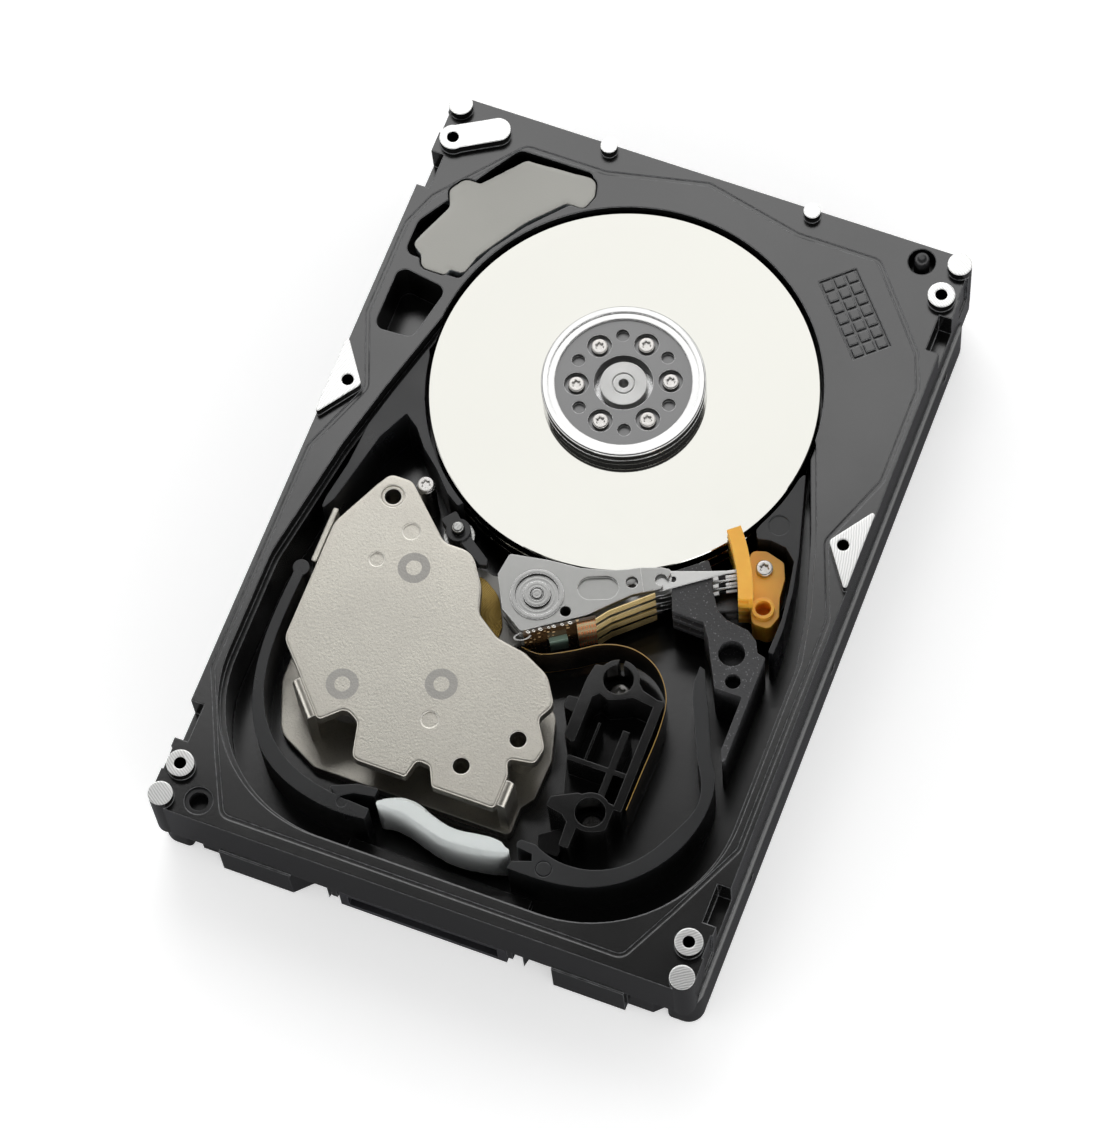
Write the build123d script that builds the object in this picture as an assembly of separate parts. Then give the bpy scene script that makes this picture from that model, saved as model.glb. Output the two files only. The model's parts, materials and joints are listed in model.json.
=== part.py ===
from build123d import *
import math
import os

# Open 3.5-inch hard disk drive, cover removed.  Millimetres, +Z up.
# Origin: centre of the footprint on the underside of the mounting rails.
# The connector end faces -Y and the disc end faces +Y.

# ---- case ------------------------------------------------------------------
rail_width = 101.6
case_length = 147.0
rail_half = rail_width / 2
case_half = case_length / 2
wall_inset = 0.6
end_inset = 0.34
deck_half = rail_half - wall_inset
deck_end = case_half - end_inset
deck_z = 22.2
floor_z = 7.6
floor_under = 5.8
skirt_z = 9.5
boss_height = 2.0
boss_z = deck_z + boss_height
rail_inner = 44.8
rail_top = 10.0
rail_rear_gap = 5.5
rail_front_gap = 1.8
corner_radius = 2.0
cavity_side = deck_half - 2.6
cavity_front = -deck_end + 4.56
cavity_corner = 27.0
ledge_z = 19.2
ledge_width = 1.0

# ---- case fasteners and mounting holes ----------------------------------------
mount_hole_r = 1.35
mount_hole_depth = 4.0
side_hole_z = 6.35
side_hole_first = 28.5
side_hole_middle = 41.6
side_hole_span = 101.6
bottom_hole_first = 41.28
bottom_hole_span_y = 44.45
bottom_hole_span_x = 95.25
cover_hole_r = 1.1
cover_hole_depth = 9.0
ring_boss_r = 2.45
ring_boss_in = 3.2
ring_boss_rear_in = 9.16
ring_boss_front_in = 8.26
corner_boss_r = 2.2
corner_boss_in = 2.07
corner_boss_rear_in = 2.36
corner_boss_front_in = 1.95
wing_boss_y = 12.5
wing_boss_half = 8.3
wing_boss_reach = 5.9
wing_hole_in = 3.3
locator_in = 8.9
locator_end_in = 3.3
locator_recess_r = 2.5
locator_recess_z = 17.0
locator_pin_r = 1.35
locator_pin_z = 24.0

# ---- spindle and discs ------------------------------------------------------
spindle_x = -0.39
spindle_y = 28.75
disc_r = 35.0
disc_bore_r = 12.5
disc_thickness = 1.0
disc_pitch = 3.5
disc_count = 3
top_disc_z = 21.05
bore_gap = 0.68
shroud_bore_r = disc_r + bore_gap
hub_gap = 0.05
hub_r = disc_bore_r - hub_gap
hub_wall = 1.6
hub_flange_r = 14.2
hub_flange_height = 1.4
spacer_r = 14.5
clamp_r = 14.7
clamp_height = 3.75
clamp_lip = 1.2
clamp_face_r = 12.3
clamp_face_depth = 0.8
clamp_hole_r = 5.3
clamp_screw_count = 6
clamp_screw_circle = 8.4
clamp_screw_angle = 21.5
clamp_screw_r = 0.95
clamp_head_r = 1.5
clamp_head_height = 0.8
clamp_counterbore_r = 2.2
clamp_counterbore_depth = 0.9
clamp_thread_depth = 3.0
balance_hole_circle = 9.2
balance_hole_angle = 51.5
balance_hole_r = 1.2
balance_hole_depth = 1.0
shaft_r = 3.0
shaft_gap = 0.02
shaft_head_r = 4.2
shaft_head_height = 2.1
sleeve_r = 4.9
sleeve_top = 15.6
motor_boss_r = 15.5
motor_boss_under = 1.2
stator_in_r = 5.3
stator_yoke = 1.3
stator_out_r = 9.0
stator_z = 9.6
stator_height = 4.4
tooth_count = 9
tooth_width = 1.5
winding_wall = 0.55
winding_gap = 0.35
rotor_gap = 0.35
rotor_wall = 1.3
rotor_height = 6.4

# ---- head stack -------------------------------------------------------------
pivot_x = -0.41
pivot_y = -14.06
arm_thickness = 1.2
arm_count = disc_count + 1
window_length = 7.2
window_width = 4.4
window_depth = 0.7
block_z = 10.8
cartridge_r = 4.75
cartridge_wall = 0.85
cartridge_z = 9.0
cartridge_top = 23.1
pivot_shaft_r = 2.4
pivot_gap = 0.02
bearing_height = 3.0
pivot_bolt_r = 1.2
pivot_bolt_rise = 0.45
beam_thickness = 0.15
beam_angle = 28.0
beam_root = 20.4
beam_tip = 33.4
tab_tip = 36.5
slider_length = 1.25
slider_width = 1.0
slider_gap = 0.08
slider_r = 32.6
coil_angle = 207.0
coil_thickness = 2.6
coil_gap = 0.3
coil_near = 6.7
coil_far = 29.0
coil_near_half = 5.2
coil_far_half = 10.6
coil_width = 3.6
coil_corner = 3.0
carrier_margin = 1.5
board_angle = 33.3
board_length = 13.0
board_thickness = 0.5
board_z = 11.2
tail_thickness = 0.2
tail_height = 2.0
ribbon_thickness = 0.15
ribbon_z = 9.6
ribbon_width = 8.8
swing_range = 38.0

# ---- voice coil motor --------------------------------------------------------
plate_thickness = 2.5
top_plate_z = 19.5
bottom_plate_z = floor_z
magnet_thickness = 2.6
coil_z = top_plate_z - magnet_thickness - coil_gap - coil_thickness
magnet_in_r = 9.5
magnet_out_r = 30.5
magnet_middle = 226.0
magnet_half_angle = 37.0
standoff_r = 2.05
leg_thickness = 1.6
leg_gap = 0.03
leg_drop = 0.15
leg_bend = 1.3
standoff_hole_r = 1.5
stop_r = 1.0
stop_sleeve_r = 1.8
stop_reach = 26.0
stop_angles = (176.5, 275.3)

# ---- ramp, shrouds, rails -----------------------------------------------------
ramp_in_r = 35.2
ramp_out_r = 37.8
ramp_low_angle = 18.0
ramp_high_angle = 39.5
ramp_finger = 0.3
ramp_disc_gap = 0.15
ramp_cap_z = 22.9
ramp_cap_height = 1.1
ramp_flange_z = 19.0
ramp_screw_r = 1.54
rail_piece_z = 20.0
insert_z = 20.6
insert_gap = 0.15
comb_top_gap = 0.2
pouch_height = 13.2
pouch_thickness = 2.6
pouch_half = 15.2
pad_thickness = 3.0
pad_gap = 0.12
bracket_top = 19.0
bracket_seat_z = floor_z + 3.0
bracket_well_r = 2.7
bracket_screw_r = 0.98
shroud_screw_spot = (-27.3, 0.1)
shroud_screw_top = 19.0

# ---- latch --------------------------------------------------------------------
latch_x = -18.7
latch_y = -6.0
latch_z = 16.8
latch_height = 2.4
latch_hub_r = 2.2
latch_pin_r = 1.1
latch_pin_gap = 0.05
latch_reach = 7.6
latch_angle = -33.0
latch_pin_rise = 1.6

# ---- circuit board --------------------------------------------------------------
pcb_z = 1.0
pcb_thickness = 1.2
pcb_half = 43.6
pcb_rear = 22.0
pcb_front_in = 7.2
pcb_motor_gap = 1.5
foam_thickness = 0.8
connector_half = 15.6
connector_z = 1.0
connector_height = 7.8
connector_depth = 8.5
connector_gap = 0.3
room_wall = 1.1
connector_wall = 1.2
tongue_thickness = 1.5
tongue_z = 4.4
board_screw_r = 1.2
board_head_r = 2.4
board_head_height = 0.9

front = -deck_end
rear = deck_end
hub_top = top_disc_z - hub_gap
clamp_top = top_disc_z + clamp_height
low_disc_bottom = top_disc_z - disc_thickness - (disc_count - 1) * disc_pitch


def cyl(x, y, low, high, radius):
    return Pos(x, y, low) * Cylinder(radius, high - low, align=(Align.CENTER, Align.CENTER, Align.MIN))


def ring(x, y, low, high, outer, inner):
    return cyl(x, y, low, high, outer) - cyl(x, y, low, high, inner)


def block(x0, x1, y0, y1, low, high):
    size = Box(x1 - x0, y1 - y0, high - low, align=Align.MIN)
    return Pos(x0, y0, low) * size


def sheet(points, radius=0.0):
    line = Polyline(*points, close=True) if radius == 0 else FilletPolyline(*points, radius=radius, close=True)
    return make_face(line)


def plate(points, low, high, radius=0.0):
    return extrude(Pos(0, 0, low) * sheet(points, radius), high - low)


def polar(x, y, radius, angle):
    turn = math.radians(angle)
    return (x + radius * math.cos(turn), y + radius * math.sin(turn))


def sector(x, y, inner, outer, start, end, low, high):
    # A flat arc-shaped slab about a centre, from one angle to the other.
    middle = (start + end) / 2
    outer_arc = ThreePointArc(*[polar(x, y, outer, a) for a in (start, middle, end)])
    inner_arc = ThreePointArc(*[polar(x, y, inner, a) for a in (end, middle, start)])
    sides = [Line(outer_arc @ 1, inner_arc @ 0), Line(inner_arc @ 1, outer_arc @ 0)]
    face = make_face([outer_arc, sides[0], inner_arc, sides[1]])
    return extrude(Pos(0, 0, low) * face, high - low)


def mirrored(shape):
    return mirror(shape, about=Plane.YZ)


def fuse(pieces):
    whole = pieces[0]
    for piece in pieces[1:]:
        whole = whole + piece
    return whole


def disc_top(index):
    return top_disc_z - index * disc_pitch


def arm_middle(index):
    # Arms sit midway between the discs, and one lies above and one below the stack.
    return top_disc_z - disc_thickness / 2 + disc_pitch / 2 - index * disc_pitch


# ------------------------------------------------------------------ base casting

def cavity_outline():
    side = cavity_side
    return [
        (35.2, 31.0), (41.4, 14.0), (side - 2.1, 0.0), (side - 0.2, -10.0),
        (side, cavity_front), (-side, cavity_front), (-side, -22.0),
        (-side + 4.0, 1.5), (-40.4, 14.6), (-35.6, 32.0),
    ]


cavity_radii = [2.0, 8.0, 8.0, 12.0, cavity_corner, cavity_corner, 12.0, 8.0, 8.0, 2.0]


def cavity_cut():
    upper = plate(cavity_outline(), ledge_z, boss_z, cavity_radii)
    inner = offset(sheet(cavity_outline(), cavity_radii), amount=-ledge_width)
    lower = extrude(Pos(0, 0, floor_z) * inner, ledge_z - floor_z)
    bore = cyl(spindle_x, spindle_y, floor_z, boss_z, shroud_bore_r)
    return upper + lower + bore


def inside_cavity(body):
    # Trims an insert to fit between the cavity walls.
    wall = offset(sheet(cavity_outline(), cavity_radii), amount=-(ledge_width + insert_gap))
    return body & extrude(Pos(0, 0, floor_z) * wall, boss_z - floor_z)


def gasket_outline():
    side = deck_half - 1.2
    waist = deck_half - 6.6
    half = [
        (18.5, rear - 5.7), (34.0, rear - 5.7), (side - 2.5, rear - 20.7), (side, rear - 27.2),
        (side, 27.0), (waist, 13.0), (side, -1.0), (side, front + 27.2),
        (side - 6.8, front + 12.7), (37.0, front + 2.4),
    ]
    return [(0.0, rear - 1.6)] + half + [(-x, y) for x, y in reversed(half)]


def gasket_groove():
    line_width = 0.7
    depth = 0.12
    middle = sheet(gasket_outline(), 2.2)
    band = offset(middle, amount=line_width / 2) - offset(middle, amount=-line_width / 2)
    return extrude(Pos(0, 0, deck_z - depth) * band, depth * 2)


def filter_pocket():
    # Deep pocket under the pad, and a shallow seat cut to the pad's own outline.
    depth_z = 12.0
    side = deck_half - 3.0
    outline = [
        (-side, 40.2), (-side, 47.0), (-35.0, 66.6), (-20.2, 66.6), (-20.0, 60.2),
        (-22.6, 58.9), (-28.4, 52.4), (-32.6, 46.2), (-35.0, 41.0), (-35.8, 38.6), (-39.0, 38.6), (-43.0, 40.0),
    ]
    radii = [1.8, 3.0, 2.0, 1.5, 1.2, 2.0, 6.0, 6.0, 2.0, 1.2, 0.9, 1.2]
    deep = plate(outline, depth_z, boss_z, radii)
    seat_z = deck_z - pad_thickness
    return deep + extrude(Pos(0, 0, seat_z) * pad_outline(pad_gap), boss_z - seat_z)


def small_pocket():
    depth_z = 12.0
    side = deck_half - 3.2
    outline = [(-side, 24.5), (-side, 37.5), (-37.2, 36.0), (-39.6, 24.9)]
    return plate(outline, depth_z, boss_z, 1.8)


def grid_mark():
    # Three rows of seven raised squares inside a shallow frame, open at one end.
    columns = 7
    rows = 3
    pitch = 2.32
    cell = 1.75
    depth = 0.45
    margin = 0.35
    length = columns * pitch + margin
    width = rows * pitch + margin
    frame = Box(length, width, 2 * depth)
    squares = [Pos(*spot.position) * Box(cell, cell, 2 * depth) for spot in GridLocations(pitch, pitch, columns, rows)]
    return Pos(33.45, 56.1, deck_z) * Rot(0, 0, -48.3) * (frame - squares)


def deck_bosses():
    cuts = []
    posts = []
    low = floor_under
    ring_x = deck_half - ring_boss_in
    for side in (1, -1):
        for y in (rear - ring_boss_rear_in, front + ring_boss_front_in):
            posts.append(cyl(side * ring_x, y, deck_z - 1, boss_z, ring_boss_r))
            cuts.append(cyl(side * ring_x, y, boss_z - cover_hole_depth, boss_z, cover_hole_r))
        for y in (rear - corner_boss_rear_in, front + corner_boss_front_in):
            posts.append(cyl(side * (deck_half - corner_boss_in), y, low + 4, boss_z, corner_boss_r))
        wing = [
            (deck_half, wing_boss_y - wing_boss_half), (deck_half, wing_boss_y + wing_boss_half),
            (deck_half - wing_boss_reach, wing_boss_y),
        ]
        triangle = plate(wing, deck_z - 1, boss_z, [0.4, 0.4, 0.9])
        posts.append(triangle if side == 1 else mirrored(triangle))
        hole_x = side * (deck_half - wing_hole_in)
        cuts.append(cyl(hole_x, wing_boss_y, boss_z - cover_hole_depth, boss_z, cover_hole_r))
        posts.append(cyl(side * 19.6, rear - 1.2, deck_z - 1, boss_z, 1.54))
    slot_end = (7.2, 4.2)
    ring_y = rear - ring_boss_rear_in
    reach = math.hypot(*slot_end)
    turn = math.degrees(math.atan2(slot_end[1], slot_end[0]))
    bar = Pos(-ring_x, ring_y, deck_z - 1) * Rot(0, 0, turn) * block(0, reach, -2.3, 2.3, 0, boss_height + 1)
    posts.append(bar)
    posts.append(cyl(-ring_x + slot_end[0], ring_y + slot_end[1], deck_z - 1, boss_z, 2.3))
    return posts, cuts


def locator_spots():
    rear_spot = (deck_half - locator_in, rear - locator_end_in)
    front_spot = (-deck_half + locator_in - 0.5, front + locator_end_in + 0.25)
    return rear_spot, front_spot


def side_rail():
    nose = (rail_half - rail_inner) / 2
    low_y = -case_half + rail_front_gap
    high_y = case_half - rail_rear_gap
    outline = [(rail_inner, low_y), (rail_half, low_y), (rail_half, high_y), (rail_inner, high_y)]
    radii = [1.0, nose, nose, 1.0]
    body = plate(outline, 0, rail_top, radii)
    top_edges = body.edges().filter_by(Axis.Y).group_by(Axis.Z)[-1].sort_by(Axis.X)[-1]
    return chamfer(top_edges, length=wall_inset - 0.1)


def front_skirts():
    # Blocks and pointed ears that hang below the front wall beside the connector.
    back = front + 7.2
    edge = -case_half
    left = [
        (-42.8, back), (-42.8, front + 1.9), (-38.0, front + 1.9), (-38.0, edge),
        (-24.7, edge), (-20.5, front + 3.8), (-20.5, back),
    ]
    right = [
        (23.4, back), (24.4, edge), (37.8, edge), (37.8, front + 1.0),
        (42.5, front + 1.0), (44.6, front + 3.0), (44.6, back),
    ]
    ear = [(17.2, back), (18.4, front + 1.0), (19.8, back)]
    skirts = [plate(left, 0.5, skirt_z), plate(right, 0.5, skirt_z), plate(ear, 0.5, skirt_z)]
    return skirts + [mirrored(skirts[2])]


def connector_room(wall):
    # Space for the connector under the front wall, or the same space with a wall round it.
    side = connector_half + connector_gap + wall
    back = front + connector_depth + connector_gap + wall
    return block(-side, side, front - 1 + wall, back, 0 if wall == 0 else floor_under, skirt_z - 0.4 + wall)


def side_notches():
    reach = 2.5
    cuts = []
    for side in (1, -1):
        for low, high in ((rear - 19.4, rear - 12.2), (front + 12.9, front + 20.2)):
            box = block(deck_half - reach, rail_half + 1, low, high, 16.0, boss_z)
            cuts.append(box if side == 1 else mirrored(box))
        for low, high in ((rear - 8.2, rear - 3.7), (front + 6.9, front + 11.2)):
            box = block(deck_half - 0.35, rail_half + 1, low, high, 13.0, deck_z)
            cuts.append(box if side == 1 else mirrored(box))
    return cuts


def mounting_holes():
    cuts = []
    start = -case_half + side_hole_first
    for side in (1, -1):
        for along in (0, side_hole_middle, side_hole_span):
            drill = Rot(0, 90, 0) * Cylinder(mount_hole_r, 2 * mount_hole_depth)
            cuts.append(Pos(side * rail_half, start + along, side_hole_z) * drill)
        for along in (0, bottom_hole_span_y):
            y = -case_half + bottom_hole_first + along
            cuts.append(cyl(side * bottom_hole_span_x / 2, y, 0, mount_hole_depth, mount_hole_r))
    return cuts


def underside():
    # Ribs and the motor's round boss, below the disc end of the floor.
    pieces = [cyl(spindle_x, spindle_y, motor_boss_under, floor_z, motor_boss_r)]
    rib = 1.6
    rib_z = 2.6
    for turn in (20, 55, 90, 125, 160):
        spoke = Pos(spindle_x, spindle_y, rib_z) * Rot(0, 0, turn) * block(13, 38, -rib / 2, rib / 2, 0, floor_z - rib_z)
        pieces.append(spoke)
    pieces.append(block(-rail_inner, rail_inner, rear - 3.2, rear, rib_z, floor_z))
    return fuse(pieces)


def base_casting():
    slab = block(-deck_half, deck_half, front, rear, floor_under, deck_z)
    slab = fillet(slab.edges().filter_by(Axis.Z), corner_radius)
    slab -= block(-rail_half, rail_half, front - 1, front + 3.2, 0, skirt_z)
    body = slab + side_rail() + mirrored(side_rail())
    body = fuse([body] + front_skirts())
    body += underside() & block(-rail_half, rail_half, front, rear, 0, floor_z)
    posts, holes = deck_bosses()
    body = fuse([body] + posts)
    cuts = holes + side_notches() + mounting_holes()
    cuts += [cavity_cut(), gasket_groove(), filter_pocket(), small_pocket(), grid_mark()]
    for x, y in locator_spots():
        cuts.append(cyl(x, y, locator_recess_z, boss_z, locator_recess_r))
    for cut in cuts:
        body -= cut
    body += connector_room(room_wall)
    body += ring(spindle_x, spindle_y, floor_z, stator_z, stator_in_r + stator_yoke, sleeve_r)
    body -= cyl(spindle_x, spindle_y, motor_boss_under + 1.2, deck_z, sleeve_r)
    body += cyl(pivot_x, pivot_y, floor_z, cartridge_z - 0.4, pivot_shaft_r + 1.2)
    for x, y in board_screw_spots():
        body -= cyl(x, y, pcb_z, floor_under + 1.2, board_screw_r)
    return body - connector_room(0)


def locator_pin():
    (x, y), _ = locator_spots()
    shank = cyl(x, y, locator_recess_z, locator_pin_z, locator_pin_r)
    tip = shank.edges().filter_by(GeomType.CIRCLE).group_by(Axis.Z)[-1]
    return fillet(tip, locator_pin_r * 0.7) + cyl(x, y, locator_recess_z, locator_recess_z + 1.5, locator_recess_r)


def cover_bush():
    _, (x, y) = locator_spots()
    bush = ring(x, y, locator_recess_z, deck_z - 0.5, locator_recess_r, 1.7)
    return bush + cyl(x, y, locator_recess_z, locator_recess_z + 2.0, 1.7)


# ------------------------------------------------------------------ spindle

def motor_sleeve():
    low = motor_boss_under + 1.2
    return cyl(spindle_x, spindle_y, low, sleeve_top, sleeve_r) - cyl(
        spindle_x, spindle_y, low + 1.0, sleeve_top, shaft_r + shaft_gap)


def around_spindle(shape, count, first=0.0):
    return [Pos(spindle_x, spindle_y, 0) * Rot(0, 0, first + 360 * i / count) * shape for i in range(count)]


def stator_core():
    top = stator_z + stator_height
    yoke = ring(0, 0, stator_z, top, stator_in_r + stator_yoke, sleeve_r)
    tooth = block(stator_in_r, stator_out_r - 0.6, -tooth_width / 2, tooth_width / 2, stator_z + 1, top - 1)
    shoe = sector(0, 0, stator_out_r - 0.9, stator_out_r, -16, 16, stator_z + 1, top - 1)
    core = [Pos(spindle_x, spindle_y, 0) * yoke]
    return fuse(core + around_spindle(tooth, tooth_count) + around_spindle(shoe, tooth_count))


def stator_windings():
    low = stator_z + 1
    high = stator_z + stator_height - 1
    half = tooth_width / 2
    inner = stator_in_r + stator_yoke + winding_gap / 2
    outer = stator_out_r - 0.9 - winding_gap / 2
    wall = winding_wall
    shell = block(inner, outer, -half - wall, half + wall, low - wall, high + wall)
    shell = fillet(shell.edges().filter_by(Axis.X), wall * 0.6)
    turn = shell - block(inner, outer, -half, half, low, high)
    return Compound(children=around_spindle(turn, tooth_count))


def spindle_hub():
    low = low_disc_bottom - hub_flange_height
    magnet_r = stator_out_r + rotor_gap + rotor_wall
    roof = stator_z + rotor_height + 0.6
    body = cyl(spindle_x, spindle_y, low, hub_top, hub_r)
    body += cyl(spindle_x, spindle_y, low, low_disc_bottom, hub_flange_r)
    body -= cyl(spindle_x, spindle_y, low, roof, magnet_r)
    body -= cyl(spindle_x, spindle_y, roof, hub_top, shaft_r)
    for x, y in clamp_screw_spots():
        body -= cyl(x, y, hub_top - clamp_thread_depth, hub_top, clamp_screw_r)
    return body


def clamp_screw_spots():
    step = 360 / clamp_screw_count
    angles = [clamp_screw_angle + step * i for i in range(clamp_screw_count)]
    return [polar(spindle_x, spindle_y, clamp_screw_circle, a) for a in angles]


def spindle_shaft():
    low = motor_boss_under + 2.6
    top = clamp_top - 1.2
    shaft = cyl(spindle_x, spindle_y, low, top, shaft_r)
    shaft += cyl(spindle_x, spindle_y, top - shaft_head_height, top, shaft_head_r)
    shaft -= ring(spindle_x, spindle_y, top - 0.25, top, 2.1, 1.8)
    return shaft - cyl(spindle_x, spindle_y, top - 2.5, top, 0.9)


def rotor_magnet():
    outer = stator_out_r + rotor_gap + rotor_wall
    high = stator_z + rotor_height + 0.6
    return ring(spindle_x, spindle_y, high - rotor_height, high, outer, outer - rotor_wall)


def platter(index):
    top = disc_top(index)
    disc = ring(spindle_x, spindle_y, top - disc_thickness, top, disc_r, disc_bore_r)
    rims = disc.edges().filter_by(GeomType.CIRCLE).filter_by(lambda e: e.radius > disc_bore_r + 1)
    return chamfer(rims, length=0.12)


def disc_spacer(index):
    return ring(spindle_x, spindle_y, disc_top(index + 1), disc_top(index) - disc_thickness, spacer_r, disc_bore_r)


def disc_clamp():
    face = clamp_top - clamp_face_depth
    lip_r = clamp_r - clamp_lip
    body = cyl(spindle_x, spindle_y, top_disc_z, clamp_top, clamp_r)
    rims = body.edges().filter_by(GeomType.CIRCLE).group_by(Axis.Z)
    body = fillet(rims[-1], 0.35)
    groove_z = top_disc_z + clamp_height * 0.45
    body -= ring(spindle_x, spindle_y, groove_z, groove_z + 0.5, clamp_r + 1, clamp_r - 0.5)
    body -= cyl(spindle_x, spindle_y, clamp_top - clamp_face_depth / 2, clamp_top, lip_r)
    body -= cyl(spindle_x, spindle_y, face, clamp_top, clamp_face_r)
    body -= cyl(spindle_x, spindle_y, top_disc_z, clamp_top, clamp_hole_r)
    for x, y in clamp_screw_spots():
        body -= cyl(x, y, face - clamp_counterbore_depth, face, clamp_counterbore_r)
        body -= cyl(x, y, top_disc_z, face, clamp_screw_r)
    for i in range(clamp_screw_count):
        x, y = polar(spindle_x, spindle_y, balance_hole_circle, balance_hole_angle + 360 * i / clamp_screw_count)
        body -= cyl(x, y, face - balance_hole_depth, face, balance_hole_r)
    return body


def star_screw(x, y, seat, head_r, head_height, shank_r, shank_length):
    # Pan-head screw with a six-lobed socket.
    top = seat + head_height
    head = cyl(x, y, seat, top, head_r)
    head = fillet(head.edges().filter_by(GeomType.CIRCLE).group_by(Axis.Z)[-1], head_height * 0.35)
    depth = head_height * 0.6
    socket = cyl(x, y, top - depth, top, head_r * 0.42)
    for i in range(6):
        px, py = polar(x, y, head_r * 0.42, 60 * i)
        socket += cyl(px, py, top - depth, top, head_r * 0.13)
    return head - socket + cyl(x, y, seat - shank_length, seat, shank_r)


def clamp_screws():
    seat = clamp_top - clamp_face_depth - clamp_counterbore_depth
    length = seat - hub_top + clamp_thread_depth - 0.3
    spots = clamp_screw_spots()
    return Compound(children=[
        star_screw(x, y, seat, clamp_head_r, clamp_head_height, clamp_screw_r, length) for x, y in spots])


# ------------------------------------------------------------------ head stack

def arm_outline():
    return [
        (-7.7, -8.5), (-1.0, -7.3), (5.1, -6.75), (10.1, -5.4), (13.2, -4.0), (15.2, -2.85),
        (18.2, -1.75), (20.3, -1.5), (19.5, -5.6), (15.2, -8.4), (11.7, -12.0),
        (9.2, -14.6), (-0.6, -21.4), (-5.2, -18.6), (-8.3, -12.8),
    ]


def core_outline():
    # Drawn in where the block passes the discs' edge as it swings.
    return [(-6.8, -8.9), (-1.0, -7.35), (3.3, -8.0), (6.9, -10.7), (9.2, -14.6), (-0.6, -21.0), (-5.6, -17.6)]


def arm_block():
    arms = []
    for index in range(arm_count):
        low = arm_middle(index) - arm_thickness / 2
        arms.append(plate(arm_outline(), low, low + arm_thickness, 0.6))
    top = arm_middle(0) + arm_thickness / 2
    body = fuse([plate(core_outline(), block_z, top, 0.6)] + arms)
    body -= cyl(pivot_x, pivot_y, block_z, top, cartridge_r)
    window = extrude(SlotOverall(window_length, window_width), window_depth)
    body -= Pos(9.2, -9.2, top - window_depth) * Rot(0, 0, 22) * window
    for x, y, radius in ((14.4, -6.2, 1.1), (19.0, -3.9, 1.1), (5.4, -15.3, 1.0)):
        body -= cyl(x, y, block_z, top, radius)
    step_z = top - 0.25
    body -= Pos(15.8, -5.0, step_z) * Rot(0, 0, 28) * block(0, 8, -5, 5, 0, 1)
    return body


def pivot_sleeve():
    top = cartridge_top
    body = ring(pivot_x, pivot_y, cartridge_z, top, cartridge_r, cartridge_r - cartridge_wall)
    return body


def pivot_bearings():
    inner = pivot_shaft_r + pivot_gap
    outer = cartridge_r - cartridge_wall
    lower = ring(pivot_x, pivot_y, cartridge_z + 0.6, cartridge_z + 0.6 + bearing_height, outer, inner)
    top = cartridge_top - 0.5
    upper = ring(pivot_x, pivot_y, top - bearing_height, top, outer, inner)
    return Compound(children=[lower, upper])


def pivot_shaft():
    shaft = cyl(pivot_x, pivot_y, cartridge_z - 0.4, cartridge_top + 0.1, pivot_shaft_r)
    return shaft - cyl(pivot_x, pivot_y, cartridge_top - 4, cartridge_top + 0.1, pivot_bolt_r)


def pivot_bolt():
    top = cartridge_top + pivot_bolt_rise - 0.3
    bolt = cyl(pivot_x, pivot_y, cartridge_top - 4, top, pivot_bolt_r)
    return fillet(bolt.edges().filter_by(GeomType.CIRCLE).group_by(Axis.Z)[-1], 0.4)


def head_surfaces():
    # Each head: disc surface height, and +1 where the head is above its disc.
    heads = []
    for index in range(disc_count):
        heads.append((disc_top(index), 1))
        heads.append((disc_top(index) - disc_thickness, -1))
    return heads


def beam_level(surface, side):
    # Lower and upper height of the load beam, which lies against its arm.
    near_arm = disc_pitch / 2 - disc_thickness / 2 - arm_thickness / 2
    low = surface + side * (near_arm - beam_thickness / 2) - beam_thickness / 2
    return low, low + beam_thickness


def load_beams():
    beams = []
    for surface, side in head_surfaces():
        low, high = beam_level(surface, side)
        wide = [
            (beam_root - 3.0, -1.9), (beam_root + 1.4, -1.9), (beam_tip - 3, -0.65), (beam_tip, -0.3),
            (tab_tip, -0.3), (tab_tip, 0.3), (beam_tip, 0.3), (beam_tip - 3, 0.65), (beam_root + 1.4, 1.9),
            (beam_root - 3.0, 1.9),
        ]
        beam = plate(wide, low, high)
        beam -= cyl(beam_root + 3.6, 0, low, high, 0.55)
        beam -= cyl(beam_root - 1.2, 0, low, high, 1.1)
        beams.append(Pos(pivot_x, pivot_y, 0) * Rot(0, 0, beam_angle) * beam)
    return Compound(children=beams)


def head_sliders():
    sliders = []
    for surface, side in head_surfaces():
        low, high = beam_level(surface, side)
        near = surface + side * slider_gap
        far = low if side > 0 else high
        bottom, top = min(near, far), max(near, far)
        half = slider_width / 2
        slider = block(slider_r - slider_length / 2, slider_r + slider_length / 2, -half, half, bottom, top)
        sliders.append(Pos(pivot_x, pivot_y, 0) * Rot(0, 0, beam_angle) * slider)
    return Compound(children=sliders)


def coil_outline(grow):
    # Wound trapezoid whose end beside the pivot bulges towards it.
    near = coil_near
    half = coil_near_half
    points = [
        (coil_far, -coil_far_half), (coil_far, coil_far_half), (near + 2.5, half + 2.0),
        (near, half - 2.2), (near, 2.2 - half), (near + 2.5, -half - 2.0),
    ]
    radii = [coil_corner, coil_corner, 3.2, 5.0, 5.0, 3.2]
    return offset(sheet(points, radii), amount=grow)


def at_coil(shape):
    return Pos(pivot_x, pivot_y, 0) * Rot(0, 0, coil_angle) * shape


def voice_coil():
    band = coil_outline(0.0) - coil_outline(-coil_width)
    return at_coil(extrude(Pos(0, 0, coil_z) * band, coil_thickness))


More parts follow.
